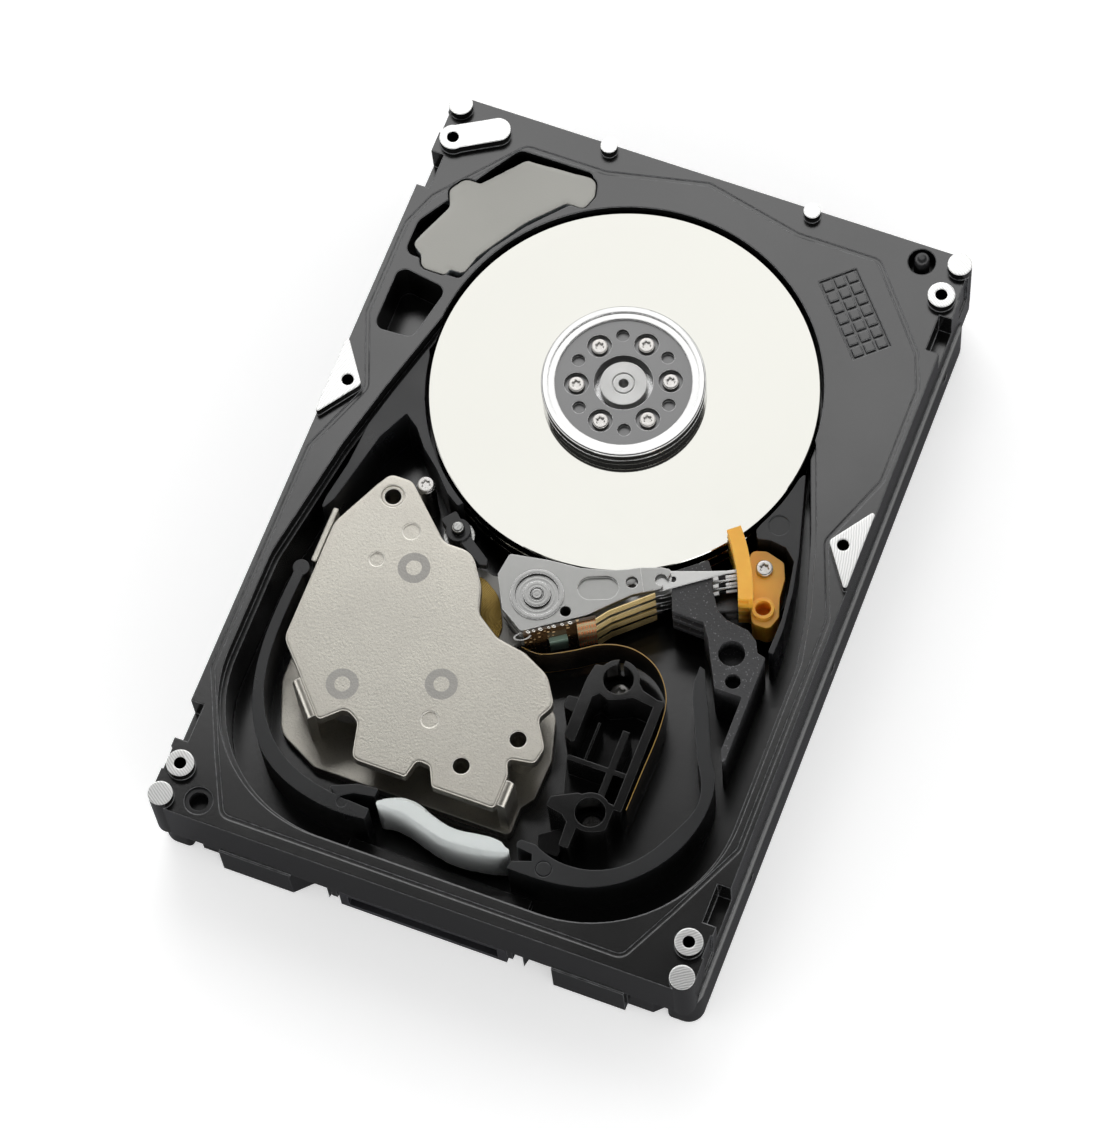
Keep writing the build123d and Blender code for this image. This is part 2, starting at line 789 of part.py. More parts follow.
def coil_carrier():
    # Moulded frame round the coil, with a root that reaches the arm block.
    low = coil_z + 0.4
    high = coil_z + coil_thickness - 0.4
    band = coil_outline(carrier_margin) - coil_outline(0.0)
    frame = extrude(Pos(0, 0, low) * band, high - low)
    root = plate([(3.0, -5.5), (coil_near + 3.2, -8.2), (coil_near + 3.2, 8.2), (3.0, 5.5)], low, high)
    root -= extrude(Pos(0, 0, low) * coil_outline(0.0), high - low)
    finger = Rot(0, 0, -coil_angle) * plate([(-9.6, 1.0), (-13.2, 2.2), (-13.0, 3.6), (-9.4, 3.0)], low, high, 0.3)
    body = at_coil(frame + root + finger)
    body -= at_coil(extrude(Pos(0, 0, low) * coil_outline(0.0), high - low))
    for outline in (core_outline(), arm_outline()):
        body -= plate(outline, low, high, 0.6)
    return body - cyl(pivot_x, pivot_y, low, high, cartridge_r)


board_start = (-0.35, -21.25)


def along_board(start, end, thickness, low, high, away=0.0):
    strip = block(start, end, -away - thickness, -away, low, high)
    return Pos(board_start[0], board_start[1], 0) * Rot(0, 0, board_angle) * strip


def arm_flex_board():
    return along_board(0, board_length, board_thickness, board_z, arm_middle(0) + arm_thickness / 2 - 0.3)


def preamp_chip():
    low = board_z + 2.4
    return along_board(4.3, 7.6, 0.9, low, low + 4.5, board_thickness)


def flex_tails():
    tails = []
    for index in range(arm_count):
        middle = arm_middle(index)
        low = middle - tail_height / 2
        line = FilletPolyline((10.95, -15.0), (12.6, -12.75), (19.0, -6.9), radius=0.8)
        strip = trace(line, line_width=tail_thickness)
        tails.append(extrude(Pos(0, 0, low) * strip, tail_height))
    return Compound(children=tails)


def flex_ribbon():
    # Ribbon on edge, from the arm board round the bracket's far side.
    route = [
        (-0.3, -22.6), (3.4, -22.7), (8.2, -20.3), (13.2, -17.2), (18.4, -16.3),
        (23.4, -18.2), (26.9, -22.8), (27.9, -29.0), (27.8, -38.0), (27.7, -44.6),
    ]
    band = trace(Spline(*route), line_width=ribbon_thickness)
    return extrude(Pos(0, 0, ribbon_z) * band, ribbon_width)


# ------------------------------------------------------------------ voice coil motor

def top_plate_outline():
    return [
        (-35.0, -3.8), (-33.4, -1.0), (-29.2, -1.0), (-19.6, -10.0), (-14.2, -10.0), (-10.4, -15.4), (-8.8, -20.6),
        (-4.2, -23.6), (1.4, -24.6), (6.6, -27.2), (9.7, -32.0), (8.0, -35.2), (11.0, -40.0), (10.4, -43.2),
        (5.6, -44.0), (6.8, -46.8), (6.8, -53.3), (-4.9, -53.3), (-6.6, -49.8), (-9.0, -49.6), (-9.8, -53.2),
        (-19.9, -53.2), (-21.4, -46.6), (-24.2, -45.0), (-28.1, -48.7), (-34.6, -41.5), (-39.4, -36.4), (-39.4, -13.0),
    ]


top_plate_radii = [
    2.6, 2.0, 2.2, 3.0, 4.0, 5.0, 3.0,
    3.0, 5.0, 5.0, 2.2, 1.6, 2.2, 1.2,
    0.8, 0.8, 0.8, 0.8, 1.1, 1.0, 0.7,
    1.6, 1.6, 1.6, 0.9, 1.2, 3.0, 6.0,
]


def bottom_plate_outline():
    return [
        (-33.8, -0.6), (-28.0, -3.4), (-19.4, -10.2), (-12.6, -12.4), (-11.6, -20.0), (-6.0, -24.6),
        (2.0, -26.0), (8.6, -29.6), (10.9, -38.0), (10.6, -45.6), (8.9, -48.0), (9.0, -53.4), (-28.0, -53.4),
        (-36.0, -49.4), (-39.6, -40.0), (-39.6, -21.6), (-41.2, -20.7), (-41.2, -9.0), (-39.2, -8.6), (-36.5, -4.5),
    ]


bottom_plate_radii = [1.6, 3.0, 2.0, 2.0, 4.0, 3.0, 4.0, 4.0, 3.0, 0.6, 1.0, 1.0, 3.0, 5.0, 5.0, 0.6, 0.6, 0.8, 1.0, 3.0]


def plate_holes():
    return [(-31.4, -4.9), (6.1, -40.1), (-1.4, -48.0)]


def vcm_top_plate():
    high = top_plate_z + plate_thickness
    body = plate(top_plate_outline(), top_plate_z, high, top_plate_radii)
    edges = body.edges().group_by(Axis.Z)[-1]
    body = fillet(edges, 0.35)
    gap = 0.05
    for index, (x, y) in enumerate(plate_holes()):
        radius = standoff_r + gap if index == 0 else standoff_hole_r
        body -= cyl(x, y, top_plate_z, high, radius)
    for x, y, radius in ((-25.8, -10.1, 1.55), (-29.6, -17.1, 1.35), (-9.7, -41.9, 1.55)):
        body -= cyl(x, y, high - 0.35, high, radius)
    return body


def beside_edge(start, end, near, far, gap, thickness):
    # Corners of a strip laid along an edge, from one distance to another, on its right side.
    length = math.dist(start, end)
    ux, uy = (end[0] - start[0]) / length, (end[1] - start[1]) / length
    corners = []
    for along, out in ((near, gap), (far, gap), (far, gap + thickness), (near, gap + thickness)):
        corners.append((start[0] + ux * along - uy * out, start[1] + uy * along + ux * out))
    return corners


def vcm_legs():
    # Legs bent down from two edges of the top plate, and a tab bent up from the lower one.
    low = bottom_plate_z + plate_thickness
    high = top_plate_z + plate_thickness - leg_drop
    outline = top_plate_outline()
    left = plate(beside_edge(outline[24], outline[25], 1.0, 8.6, leg_gap, leg_thickness), low, high)
    right = plate(beside_edge(outline[16], outline[15], 0.9, 5.6, -leg_gap - leg_thickness, leg_thickness), low, high)
    legs = []
    for leg, way in ((left, (-0.744, -0.668, 0)), (right, (1, 0, 0))):
        outer = leg.edges().group_by(Axis.Z)[-1].sort_by(Axis((0, 0, 0), way))[-1]
        legs.append(fillet(outer, leg_bend))
    tab = plate([(-41.1, -9.6), (-40.1, -9.6), (-40.1, -20.4), (-41.1, -20.4)], low, top_plate_z, 0.3)
    return Compound(children=legs + [tab])


def vcm_bottom_plate():
    return plate(bottom_plate_outline(), bottom_plate_z, bottom_plate_z + plate_thickness, bottom_plate_radii)


def vcm_magnet(low):
    start = magnet_middle - magnet_half_angle
    end = magnet_middle + magnet_half_angle
    body = sector(pivot_x, pivot_y, magnet_in_r + 3, magnet_out_r, start, end, low, low + magnet_thickness)
    return fillet(body.edges().filter_by(Axis.Z), 1.2)


def plate_standoffs():
    posts = []
    low = bottom_plate_z + plate_thickness
    for index, (x, y) in enumerate(plate_holes()):
        high = top_plate_z + plate_thickness - 0.3 if index == 0 else top_plate_z
        posts.append(ring(x, y, low, high, standoff_r, standoff_hole_r))
    return Compound(children=posts)


def stop_spots():
    return [polar(pivot_x, pivot_y, stop_reach, a) for a in stop_angles]


def crash_stop_pins():
    low = bottom_plate_z + plate_thickness
    return Compound(children=[cyl(x, y, low, top_plate_z, stop_r) for x, y in stop_spots()])


def crash_stop_sleeves():
    low = bottom_plate_z + plate_thickness + 1.5
    return Compound(children=[ring(x, y, low, top_plate_z - 1.0, stop_sleeve_r, stop_r) for x, y in stop_spots()])


# ------------------------------------------------------------------ latch

def latch_lever():
    body = cyl(0, 0, latch_z, latch_z + latch_height, latch_hub_r)
    arm = plate([(0, -1.1), (latch_reach, -0.8), (latch_reach + 0.9, 0.2), (latch_reach, 0.9), (0, 1.1)],
                latch_z + 0.4, latch_z + latch_height - 0.4, 0.25)
    weight = Rot(0, 0, 175) * plate([(0, -1.3), (3.4, -1.6), (3.4, 1.6), (0, 1.3)], latch_z, latch_z + latch_height, 0.4)
    body = body + arm + weight - cyl(0, 0, latch_z, latch_z + latch_height, latch_pin_r + latch_pin_gap)
    return Pos(latch_x, latch_y, 0) * Rot(0, 0, latch_angle) * body


def latch_pin():
    pin = cyl(latch_x, latch_y, floor_z, latch_z + latch_height + latch_pin_rise, latch_pin_r)
    pin = fillet(pin.edges().filter_by(GeomType.CIRCLE).group_by(Axis.Z)[-1], 0.4)
    return pin + cyl(latch_x, latch_y, floor_z, latch_z - 0.3, latch_hub_r + 0.6)


# ------------------------------------------------------------------ ramp and plastics

def ramp_base_outline():
    return [
        (31.2, 7.9), (34.0, 8.8), (37.6, 7.8), (38.8, 5.0), (39.2, 1.2), (40.3, -2.2),
        (39.4, -4.9), (36.2, -4.9), (34.3, -0.6),
    ]


def ramp():
    # Loading ramp: one finger pair per disc, a top guard and a screwed foot.
    pieces = []
    for index in range(disc_count):
        low = disc_top(index) - disc_thickness - ramp_disc_gap - ramp_finger
        high = disc_top(index) + ramp_disc_gap + ramp_finger
        pieces.append(sector(pivot_x, pivot_y, ramp_in_r, ramp_out_r, ramp_low_angle, ramp_high_angle, low, high))
    cap = sector(pivot_x, pivot_y, ramp_in_r, ramp_out_r, ramp_low_angle, ramp_high_angle,
                 ramp_cap_z, ramp_cap_z + ramp_cap_height)
    wall_low = low_disc_bottom - 1.0
    wall = sector(pivot_x, pivot_y, tab_tip + 0.6, ramp_out_r, ramp_low_angle, ramp_high_angle,
                  wall_low, ramp_cap_z + ramp_cap_height)
    foot = plate(ramp_base_outline(), wall_low, ramp_flange_z, 1.2)
    web = sector(pivot_x, pivot_y, ramp_out_r - 0.3, ramp_out_r + 3.2, 22, 33, wall_low, ramp_flange_z)
    body = fuse(pieces + [cap, wall, foot, web])
    for index in range(disc_count):
        low = disc_top(index) - disc_thickness - ramp_disc_gap
        high = disc_top(index) + ramp_disc_gap
        body -= cyl(spindle_x, spindle_y, low, high, disc_r + 0.4)
    body -= cyl(34.8, 5.4, wall_low, ramp_flange_z, 0.9)
    body -= cyl(37.2, -1.8, ramp_flange_z - 3, ramp_flange_z, 1.4)
    body += ring(37.2, -1.8, ramp_flange_z - 3, ramp_flange_z + 0.8, 2.0, 1.4)
    return body


def ramp_post():
    low = floor_z
    top = low_disc_bottom - 1.0
    return cyl(35.6, 3.0, low, top, 4.0) - cyl(34.8, 5.4, low + 1, top, 0.9)


def ramp_screw():
    return star_screw(34.8, 5.4, ramp_flange_z, ramp_screw_r, 0.9, 0.9, ramp_flange_z - low_disc_bottom + 3.0)


def comb_plate():
    # Air dam: a leaf beside each disc, joined by a solid column away from the arms.
    leaf_edge = [
        (20.0, -1.4), (25.3, 2.9), (26.8, 0.9), (28.0, -2.2), (30.2, -5.6), (29.0, -8.4), (22.6, -8.2),
    ]
    column = [
        (29.6, -5.2), (32.2, -6.6), (36.4, -7.2), (38.4, -8.6), (39.4, -10.6), (41.0, -11.0), (41.0, -32.6),
        (39.7, -29.6), (39.7, -19.2), (34.6, -19.2), (30.4, -11.0), (28.4, -8.2),
    ]
    top = disc_top(0) + comb_top_gap
    body = plate(column, floor_z, top, 0.3)
    for index in range(disc_count):
        high = disc_top(index) + comb_top_gap
        body += plate(leaf_edge, high - disc_thickness - 2 * comb_top_gap, high, 0.3)
    body -= cyl(spindle_x, spindle_y, floor_z, boss_z, disc_r + 0.9)
    body -= cyl(35.2, -12.2, top - 4, top, 2.4)
    body -= cyl(37.2, -17.0, top - 4, top, 1.4)
    return body


def right_shroud():
    outline = [
        (34.9, 23.2), (31.1, 11.4), (31.8, 9.9), (34.2, 10.4), (37.2, 10.0), (39.4, 8.0), (40.4, 2.6), (41.1, -3.0),
        (41.0, -9.6), (42.0, -9.6), (42.0, -4.6), (41.2, 2.5), (39.8, 9.4), (35.6, 24.6),
    ]
    body = inside_cavity(plate(outline, floor_z, insert_z, 0.25))
    body -= cyl(spindle_x, spindle_y, floor_z, boss_z, shroud_bore_r)
    return body - cyl(34.6, 13.6, insert_z - 0.25, insert_z, 1.9)


def left_shroud():
    outline = [
        (-37.0, 26.2), (-35.4, 22.6), (-33.4, 15.0), (-30.4, 10.0), (-27.4, 6.0), (-24.8, 3.4), (-21.2, 0.4),
        (-19.2, -1.0), (-20.2, -2.2), (-22.8, -0.6), (-26.2, 3.0), (-30.0, 6.2), (-32.6, 9.4), (-35.4, 11.4),
        (-38.2, 5.6), (-39.9, -2.0), (-41.4, -8.5), (-42.9, -11.3), (-42.9, -8.6), (-41.6, -1.2), (-40.9, 9.6),
    ]
    body = inside_cavity(plate(outline, floor_z, insert_z, 0.25))
    return body - cyl(spindle_x, spindle_y, floor_z, boss_z, shroud_bore_r)


def left_rail():
    outer = Spline((-43.0, -23.0), (-43.0, -38.0), (-40.8, -48.2), (-35.2, -57.0), (-28.0, -61.0), (-14.0, -62.2))
    inner = Spline((-14.0, -60.2), (-17.4, -60.0), (-25.8, -58.7), (-33.0, -55.2), (-38.8, -47.8), (-41.2, -38.0), (-41.2, -23.0))
    face = make_face([outer, Line(outer @ 1, inner @ 0), inner, Line(inner @ 1, outer @ 0)])
    body = extrude(Pos(0, 0, floor_z) * face, rail_piece_z - floor_z)
    fork = plate([(-22.0, -58.6), (-17.4, -56.6), (-13.8, -56.2), (-13.8, -57.8), (-17.6, -58.4), (-20.0, -60.0)],
                 floor_z, rail_piece_z, 0.25)
    cap = cyl(-42.1, -22.4, floor_z, rail_piece_z, 1.5)
    body = inside_cavity(body + fork + cap)
    return body - cyl(-18.9, -60.6, rail_piece_z - 0.3, rail_piece_z, 1.0)


def right_rail():
    # Curved guide: forked end at the pouch, thick round the corner, thin along the bracket.
    outer = Spline((12.4, -62.0), (20.0, -61.9), (28.0, -60.0), (34.6, -55.2), (39.2, -48.4), (41.0, -42.0), (40.9, -36.6),
                   (38.6, -31.6))
    back = Polyline(outer @ 1, (31.7, -16.2), (30.7, -15.9), (30.7, -18.8), (31.6, -22.0), (36.4, -32.6))
    inner = Spline((36.4, -32.6), (38.6, -36.6), (39.2, -40.0), (37.6, -45.0), (34.0, -51.6), (29.0, -56.2), (22.0, -58.0),
                   (16.6, -56.9))
    end = Polyline(inner @ 1, (15.6, -56.4), (12.9, -56.4), (12.4, -57.0), (12.6, -57.8), (15.6, -58.2), (16.0, -59.4),
                   (12.6, -60.6), outer @ 0)
    body = extrude(Pos(0, 0, floor_z) * make_face([outer, back, inner, end]), rail_piece_z - floor_z)
    body = inside_cavity(body)
    return body - ring(18.4, -60.0, rail_piece_z - 0.2, rail_piece_z, 1.5, 1.25)


def filter_pouch():
    middle = -59.0
    half = pouch_thickness / 2
    near = Spline((-pouch_half + 1.6, middle - 0.35), (-7.0, middle + 1.0 - half), (0.0, middle - 0.9 - half),
                  (7.0, middle - 0.6 - half), (pouch_half - 3.0, middle - 0.35))
    far = Spline((pouch_half - 3.0, middle + 0.35), (7.0, middle - 0.6 + half), (0.0, middle - 0.9 + half),
                 (-7.0, middle + 1.0 + half), (-pouch_half + 1.6, middle + 0.35))
    face = make_face([near, Line(near @ 1, far @ 0), far, Line(far @ 1, near @ 0)])
    return extrude(Pos(0, 0, floor_z + 0.3) * face, pouch_height)


def pad_outline(grow):
    # Breather pad with round tabs at its ends and one on its long side.
    points = [
        (-46.6, 42.4), (-44.4, 40.8), (-43.4, 38.3), (-38.7, 38.3), (-38.2, 39.8), (-35.4, 39.8), (-34.4, 43.8),
        (-28.6, 53.2), (-23.0, 59.3), (-19.6, 59.3), (-18.6, 62.4), (-19.6, 65.9), (-33.2, 65.2), (-39.4, 57.9),
        (-42.4, 57.9), (-44.4, 54.8), (-43.0, 51.6), (-45.9, 44.6),
    ]
    radii = [1.2, 0.7, 1.8, 0.8, 0.6, 1.3, 4.0, 14.0, 1.2, 1.4, 1.6, 2.0, 1.6, 0.8, 1.8, 1.6, 1.2, 1.2]
    return offset(sheet(points, radii), amount=grow)


def filter_pad():
    low = deck_z - pad_thickness
    return extrude(Pos(0, 0, low) * pad_outline(0.0), pad_thickness - 0.1)


def flex_bracket():
    # Frame with two screw wells that clamps the ribbon's fixed end to the floor.
    top = bracket_top
    (x0, y0), (x1, y1) = bracket_screw_spots()
    shoulder = [(20.4, -20.9), (22.8, -23.2), (25.8, -24.0), (25.8, -25.5), (21.6, -25.0), (19.6, -26.0)]
    left_wall = [
        (13.2, -21.4), (15.6, -21.0), (15.8, -26.2), (14.8, -27.2), (14.8, -36.6), (12.7, -35.4), (12.7, -24.4),
    ]
    foot = [
        (14.6, -46.9), (18.8, -44.7), (25.7, -44.7), (25.7, -49.6), (23.8, -50.6), (18.6, -50.2),
        (17.6, -49.3), (14.4, -48.7),
    ]
    pieces = [
        cyl(x0, y0, floor_z, top, bracket_well_r + 1.0),
        cyl(x1, y1, floor_z, top, bracket_well_r + 0.9),
        plate(left_wall, floor_z, top, 0.5),
        plate(shoulder, floor_z, top, 0.5),
        plate([(14.4, -25.6), (17.6, -26.9), (20.6, -25.6), (20.2, -24.0), (15.4, -24.0)], floor_z, top, 0.4),
        plate([(10.2, -27.4), (13.0, -27.2), (13.0, -30.2), (10.2, -29.8)], floor_z, top - 3, 0.5),
        plate([(25.5, -24.0), (27.1, -23.9), (27.1, -45.5), (25.5, -45.5)], floor_z, top, 0.3),
        block(14.4, 25.8, -38.9, -38.0, floor_z, top - 2),
        block(21.8, 23.1, -44.9, -30.6, floor_z, top - 2),
        block(16.9, 17.4, -38.2, -30.0, floor_z, top - 4),
        plate(foot, floor_z, top, 0.6),
        plate([(18.8, -49.6), (20.8, -49.6), (20.8, -54.8), (19.1, -54.8)], floor_z, top, 0.3),
        plate([(14.2, -52.6), (18.9, -49.4), (18.9, -55.4), (15.2, -55.4)], floor_z, top - 5, 0.5),
        plate([(13.0, -26.0), (26.6, -24.6), (26.6, -45.4), (16.0, -46.0), (13.0, -36.0)], floor_z, floor_z + 1.6),
    ]
    body = fuse(pieces)
    for x, y in bracket_screw_spots():
        body -= cyl(x, y, bracket_seat_z, top, bracket_well_r)
        body -= cyl(x, y, floor_z, bracket_seat_z, bracket_screw_r + 0.05)
    return body - block(x0 - 1.1, x0 - 0.1, y0 + 1, y0 + 5, bracket_seat_z + 3, top)


def bracket_screw_spots():
    return [(18.0, -22.7), (22.1, -47.3)]


def bracket_screws():
    screws = [star_screw(x, y, bracket_seat_z, 2.1, 1.3, bracket_screw_r, 2.8) for x, y in bracket_screw_spots()]
    return Compound(children=screws)


def shroud_screw():
    x, y = shroud_screw_spot
    seat = shroud_screw_top
    return star_screw(x, y, seat, 1.5, 0.6, 0.9, 4.2) + ring(x, y, floor_z, seat, 1.6, 0.9)


# ------------------------------------------------------------------ circuit board

def pcb_front():
    return front + pcb_front_in


def board_screw_spots():
    return [(-40.0, 16.5), (40.0, 16.5), (-40.0, front + 16.0), (40.0, front + 16.0)]


def board_sheet():
    edge = pcb_front()
    outline = [(-pcb_half, edge), (pcb_half, edge), (pcb_half, pcb_rear), (-pcb_half, pcb_rear)]
    return outline


def circuit_board():
    board = plate(board_sheet(), pcb_z, pcb_z + pcb_thickness, 1.5)
    board -= cyl(spindle_x, spindle_y, pcb_z, floor_z, motor_boss_r + pcb_motor_gap)
    for x, y in board_screw_spots():
        board -= cyl(x, y, pcb_z, pcb_z + pcb_thickness, board_screw_r + 0.1)
    return board


def board_insulator():
    low = pcb_z + pcb_thickness
    edge = pcb_front() + connector_depth
    inset = 4.0
    outline = [(-pcb_half + inset, edge), (pcb_half - inset, edge), (pcb_half - inset, 12.0), (-pcb_half + inset, 12.0)]
    foam = plate(outline, low, low + foam_thickness, 1.0)
    foam -= cyl(spindle_x, spindle_y, low, floor_z, motor_boss_r + 2 * pcb_motor_gap)
    for x, y in board_screw_spots():
        foam -= cyl(x, y, low, low + foam_thickness, board_head_r)
    for x, y, wide, deep, _ in chip_list():
        foam -= block(x - wide / 2 - 0.3, x + wide / 2 + 0.3, y - deep / 2 - 0.3, y + deep / 2 + 0.3, low, floor_z)
    return foam


def chip_list():
    return [
        (-14.0, -28.0, 17.0, 17.0, 1.6), (12.0, -24.0, 11.0, 13.0, 1.2), (16.0, -2.0, 9.0, 9.0, 1.1),
        (-20.0, 2.0, 12.0, 7.0, 1.2), (31.0, -30.0, 6.0, 8.0, 1.0), (-33.0, -42.0, 5.0, 5.0, 1.8),
    ]


def board_chips():
    low = pcb_z + pcb_thickness
    chips = []
    for x, y, wide, deep, tall in chip_list():
        chip = block(x - wide / 2, x + wide / 2, y - deep / 2, y + deep / 2, low, low + tall)
        chips.append(chamfer(chip.edges().group_by(Axis.Z)[-1], 0.15))
    return Compound(children=chips)


def board_screws():
    spots = board_screw_spots()
    screws = []
    for x, y in spots:
        screw = star_screw(0, 0, 0, board_head_r, board_head_height, board_screw_r, floor_under - pcb_z + 1.0)
        screws.append(Pos(x, y, pcb_z) * Rot(180, 0, 0) * screw)
    return Compound(children=screws)


def interface_connector():
    # Combined data and power plug: a shell open to the front with a contact tongue.
    back = front + connector_depth
    low = pcb_z + pcb_thickness
    high = connector_z + connector_height
    body = block(-connector_half, connector_half, front + 0.2, back, low, high)
    wall = connector_wall
    body -= block(-connector_half + 1.6, connector_half - 1.6, front, front + 5.5, low + wall, high - wall)
    body += block(-connector_half + 3.2, connector_half - 3.2, front + 1.4, front + 6, tongue_z, tongue_z + tongue_thickness)
    body += block(-connector_half + 3.2, -connector_half + 4.4, front + 1.4, front + 6, tongue_z, high - wall)
    return body + block(3.0, 4.2, front + 1.4, front + 6, low + wall, tongue_z)


def connector_contacts():
    pitch = 1.27
    width = 0.7
    thickness = 0.12
    low = tongue_z + tongue_thickness
    count = 15
    pads = []
    for index in range(count):
        x = -connector_half + 6.2 + index * pitch
        pads.append(block(x, x + width, front + 1.6, front + 5.4, low, low + thickness))
    return Compound(children=pads)


nodes = {
    "base_casting": base_casting(),
    "locator_pin": locator_pin(),
    "cover_bush": cover_bush(),
    "motor_sleeve": motor_sleeve(),
    "stator_core": stator_core(),
    "stator_windings": stator_windings(),
    "spindle_hub": spindle_hub(),
    "spindle_shaft": spindle_shaft(),
    "rotor_magnet": rotor_magnet(),
    "disc_clamp": disc_clamp(),
    "clamp_screws": clamp_screws(),
    "arm_block": arm_block(),
    "pivot_sleeve": pivot_sleeve(),
    "pivot_bearings": pivot_bearings(),
    "pivot_shaft": pivot_shaft(),
    "pivot_bolt": pivot_bolt(),
    "load_beams": load_beams(),
    "head_sliders": head_sliders(),
    "voice_coil": voice_coil(),
    "coil_carrier": coil_carrier(),
    "arm_flex_board": arm_flex_board(),
    "preamp_chip": preamp_chip(),
    "flex_tails": flex_tails(),
    "flex_ribbon": flex_ribbon(),
    "vcm_top_plate": vcm_top_plate(),
    "vcm_legs": vcm_legs(),
    "vcm_bottom_plate": vcm_bottom_plate(),
    "vcm_top_magnet": vcm_magnet(top_plate_z - magnet_thickness),
    "vcm_bottom_magnet": vcm_magnet(bottom_plate_z + plate_thickness),
    "plate_standoffs": plate_standoffs(),
    "crash_stop_pins": crash_stop_pins(),
    "crash_stop_sleeves": crash_stop_sleeves(),
    "latch_lever": latch_lever(),
    "latch_pin": latch_pin(),
    "ramp": ramp(),
    "ramp_post": ramp_post(),
    "ramp_screw": ramp_screw(),
    "comb_plate": comb_plate(),
    "right_shroud": right_shroud(),
    "left_shroud": left_shroud(),
    "left_rail": left_rail(),
    "right_rail": right_rail(),
    "filter_pouch": filter_pouch(),
    "filter_pad": filter_pad(),
    "flex_bracket": flex_bracket(),
    "bracket_screws": bracket_screws(),
    "shroud_screw": shroud_screw(),
    "circuit_board": circuit_board(),
    "board_insulator": board_insulator(),
    "board_chips": board_chips(),
    "board_screws": board_screws(),
    "interface_connector": interface_connector(),
    "connector_contacts": connector_contacts(),
}
for index in range(disc_count):
    nodes[f"platter_{index + 1}"] = platter(index)
for index in range(disc_count - 1):
    nodes[f"disc_spacer_{index + 1}"] = disc_spacer(index)

os.makedirs("parts", exist_ok=True)
for name, shape in nodes.items():
    export_step(shape, f"parts/{name}.step")
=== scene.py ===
import json
import math
import bpy
from mathutils import Matrix, Vector


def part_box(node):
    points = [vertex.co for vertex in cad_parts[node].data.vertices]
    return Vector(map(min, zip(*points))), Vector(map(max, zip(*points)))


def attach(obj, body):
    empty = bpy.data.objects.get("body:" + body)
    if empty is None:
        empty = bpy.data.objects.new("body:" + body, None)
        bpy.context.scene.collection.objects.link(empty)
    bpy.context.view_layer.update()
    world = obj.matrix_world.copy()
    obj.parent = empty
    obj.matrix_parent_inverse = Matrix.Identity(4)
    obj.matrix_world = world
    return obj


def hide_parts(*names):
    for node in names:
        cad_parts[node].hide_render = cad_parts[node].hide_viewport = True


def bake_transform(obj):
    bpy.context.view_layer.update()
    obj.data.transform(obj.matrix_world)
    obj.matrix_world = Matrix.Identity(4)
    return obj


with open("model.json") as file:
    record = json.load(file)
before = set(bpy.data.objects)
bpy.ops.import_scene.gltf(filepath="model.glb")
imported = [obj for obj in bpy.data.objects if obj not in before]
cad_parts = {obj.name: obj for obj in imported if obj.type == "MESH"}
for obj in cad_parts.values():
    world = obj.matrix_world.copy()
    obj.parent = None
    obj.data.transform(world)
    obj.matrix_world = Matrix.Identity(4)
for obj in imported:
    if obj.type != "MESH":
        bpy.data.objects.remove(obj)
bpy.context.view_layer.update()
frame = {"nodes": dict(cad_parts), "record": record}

nodes = frame["nodes"]
mm = 0.001


# small helpers

def deselect():
    if bpy.context.object and bpy.context.object.mode != "OBJECT":
        bpy.ops.object.mode_set(mode="OBJECT")
    bpy.ops.object.select_all(action="DESELECT")


def pick(thing):
    deselect()
    thing.select_set(True)
    bpy.context.view_layer.objects.active = thing
    return thing


def named(name):
    thing = bpy.context.object
    thing.name = name
    thing.data.name = name
    return thing


def settle(thing):
    # place, turn and size go into the mesh
    pick(thing)
    bpy.ops.object.transform_apply(location=True, rotation=True, scale=True)
    return thing


def editMode(thing, kind="VERT"):
    pick(thing)
    bpy.ops.object.mode_set(mode="EDIT")
    bpy.ops.mesh.select_mode(type=kind)
    bpy.ops.mesh.select_all(action="DESELECT")


def objectMode():
    bpy.ops.object.mode_set(mode="OBJECT")


def applyModifier(thing, kind, **values):
    pick(thing)
    modifier = thing.modifiers.new(kind.title(), kind)
    for key, value in values.items():
        setattr(modifier, key, value)
    bpy.ops.object.modifier_apply(modifier=modifier.name)
    return thing


def smooth(thing, angle=35):
    pick(thing)
    bpy.ops.object.shade_smooth_by_angle(angle=math.radians(angle))
    return thing


def outward(thing):
    editMode(thing)
    bpy.ops.mesh.select_all(action="SELECT")
    bpy.ops.mesh.remove_doubles(threshold=1e-6)
    bpy.ops.mesh.normals_make_consistent(inside=False)
    objectMode()
    return thing


def joined(things, name):
    deselect()
    for thing in things:
        thing.select_set(True)
    bpy.context.view_layer.objects.active = things[0]
    bpy.ops.object.join()
    return named(name)


def mounted(thing, body, material, replaced=()):
    thing.data.materials.clear()
    thing.data.materials.append(material)
    if body:
        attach(thing, body)
    if replaced:
        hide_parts(*replaced)
    return thing


# camera, floor and light

cameraLook = {
    "place": (0.152178, -0.293900, 0.807660),
    "right": (0.93184451, 0.35945937, -0.04954567),
    "up": (-0.31556377, 0.87020405, 0.37837076),
    "back": (0.17912375, -0.33694789, 0.92432721),
    "lens": 154.2,
}


def makeCamera():
    data = bpy.data.cameras.new("camera")
    data.lens = cameraLook["lens"]
    data.sensor_width = 36
    camera = bpy.data.objects.new("camera", data)
    columns = [Vector(cameraLook[key]) for key in ("right", "up", "back")]
    turn = Matrix(columns).transposed().to_4x4()
    camera.matrix_world = Matrix.Translation(cameraLook["place"]) @ turn
    bpy.context.scene.collection.objects.link(camera)
    bpy.context.scene.camera = camera


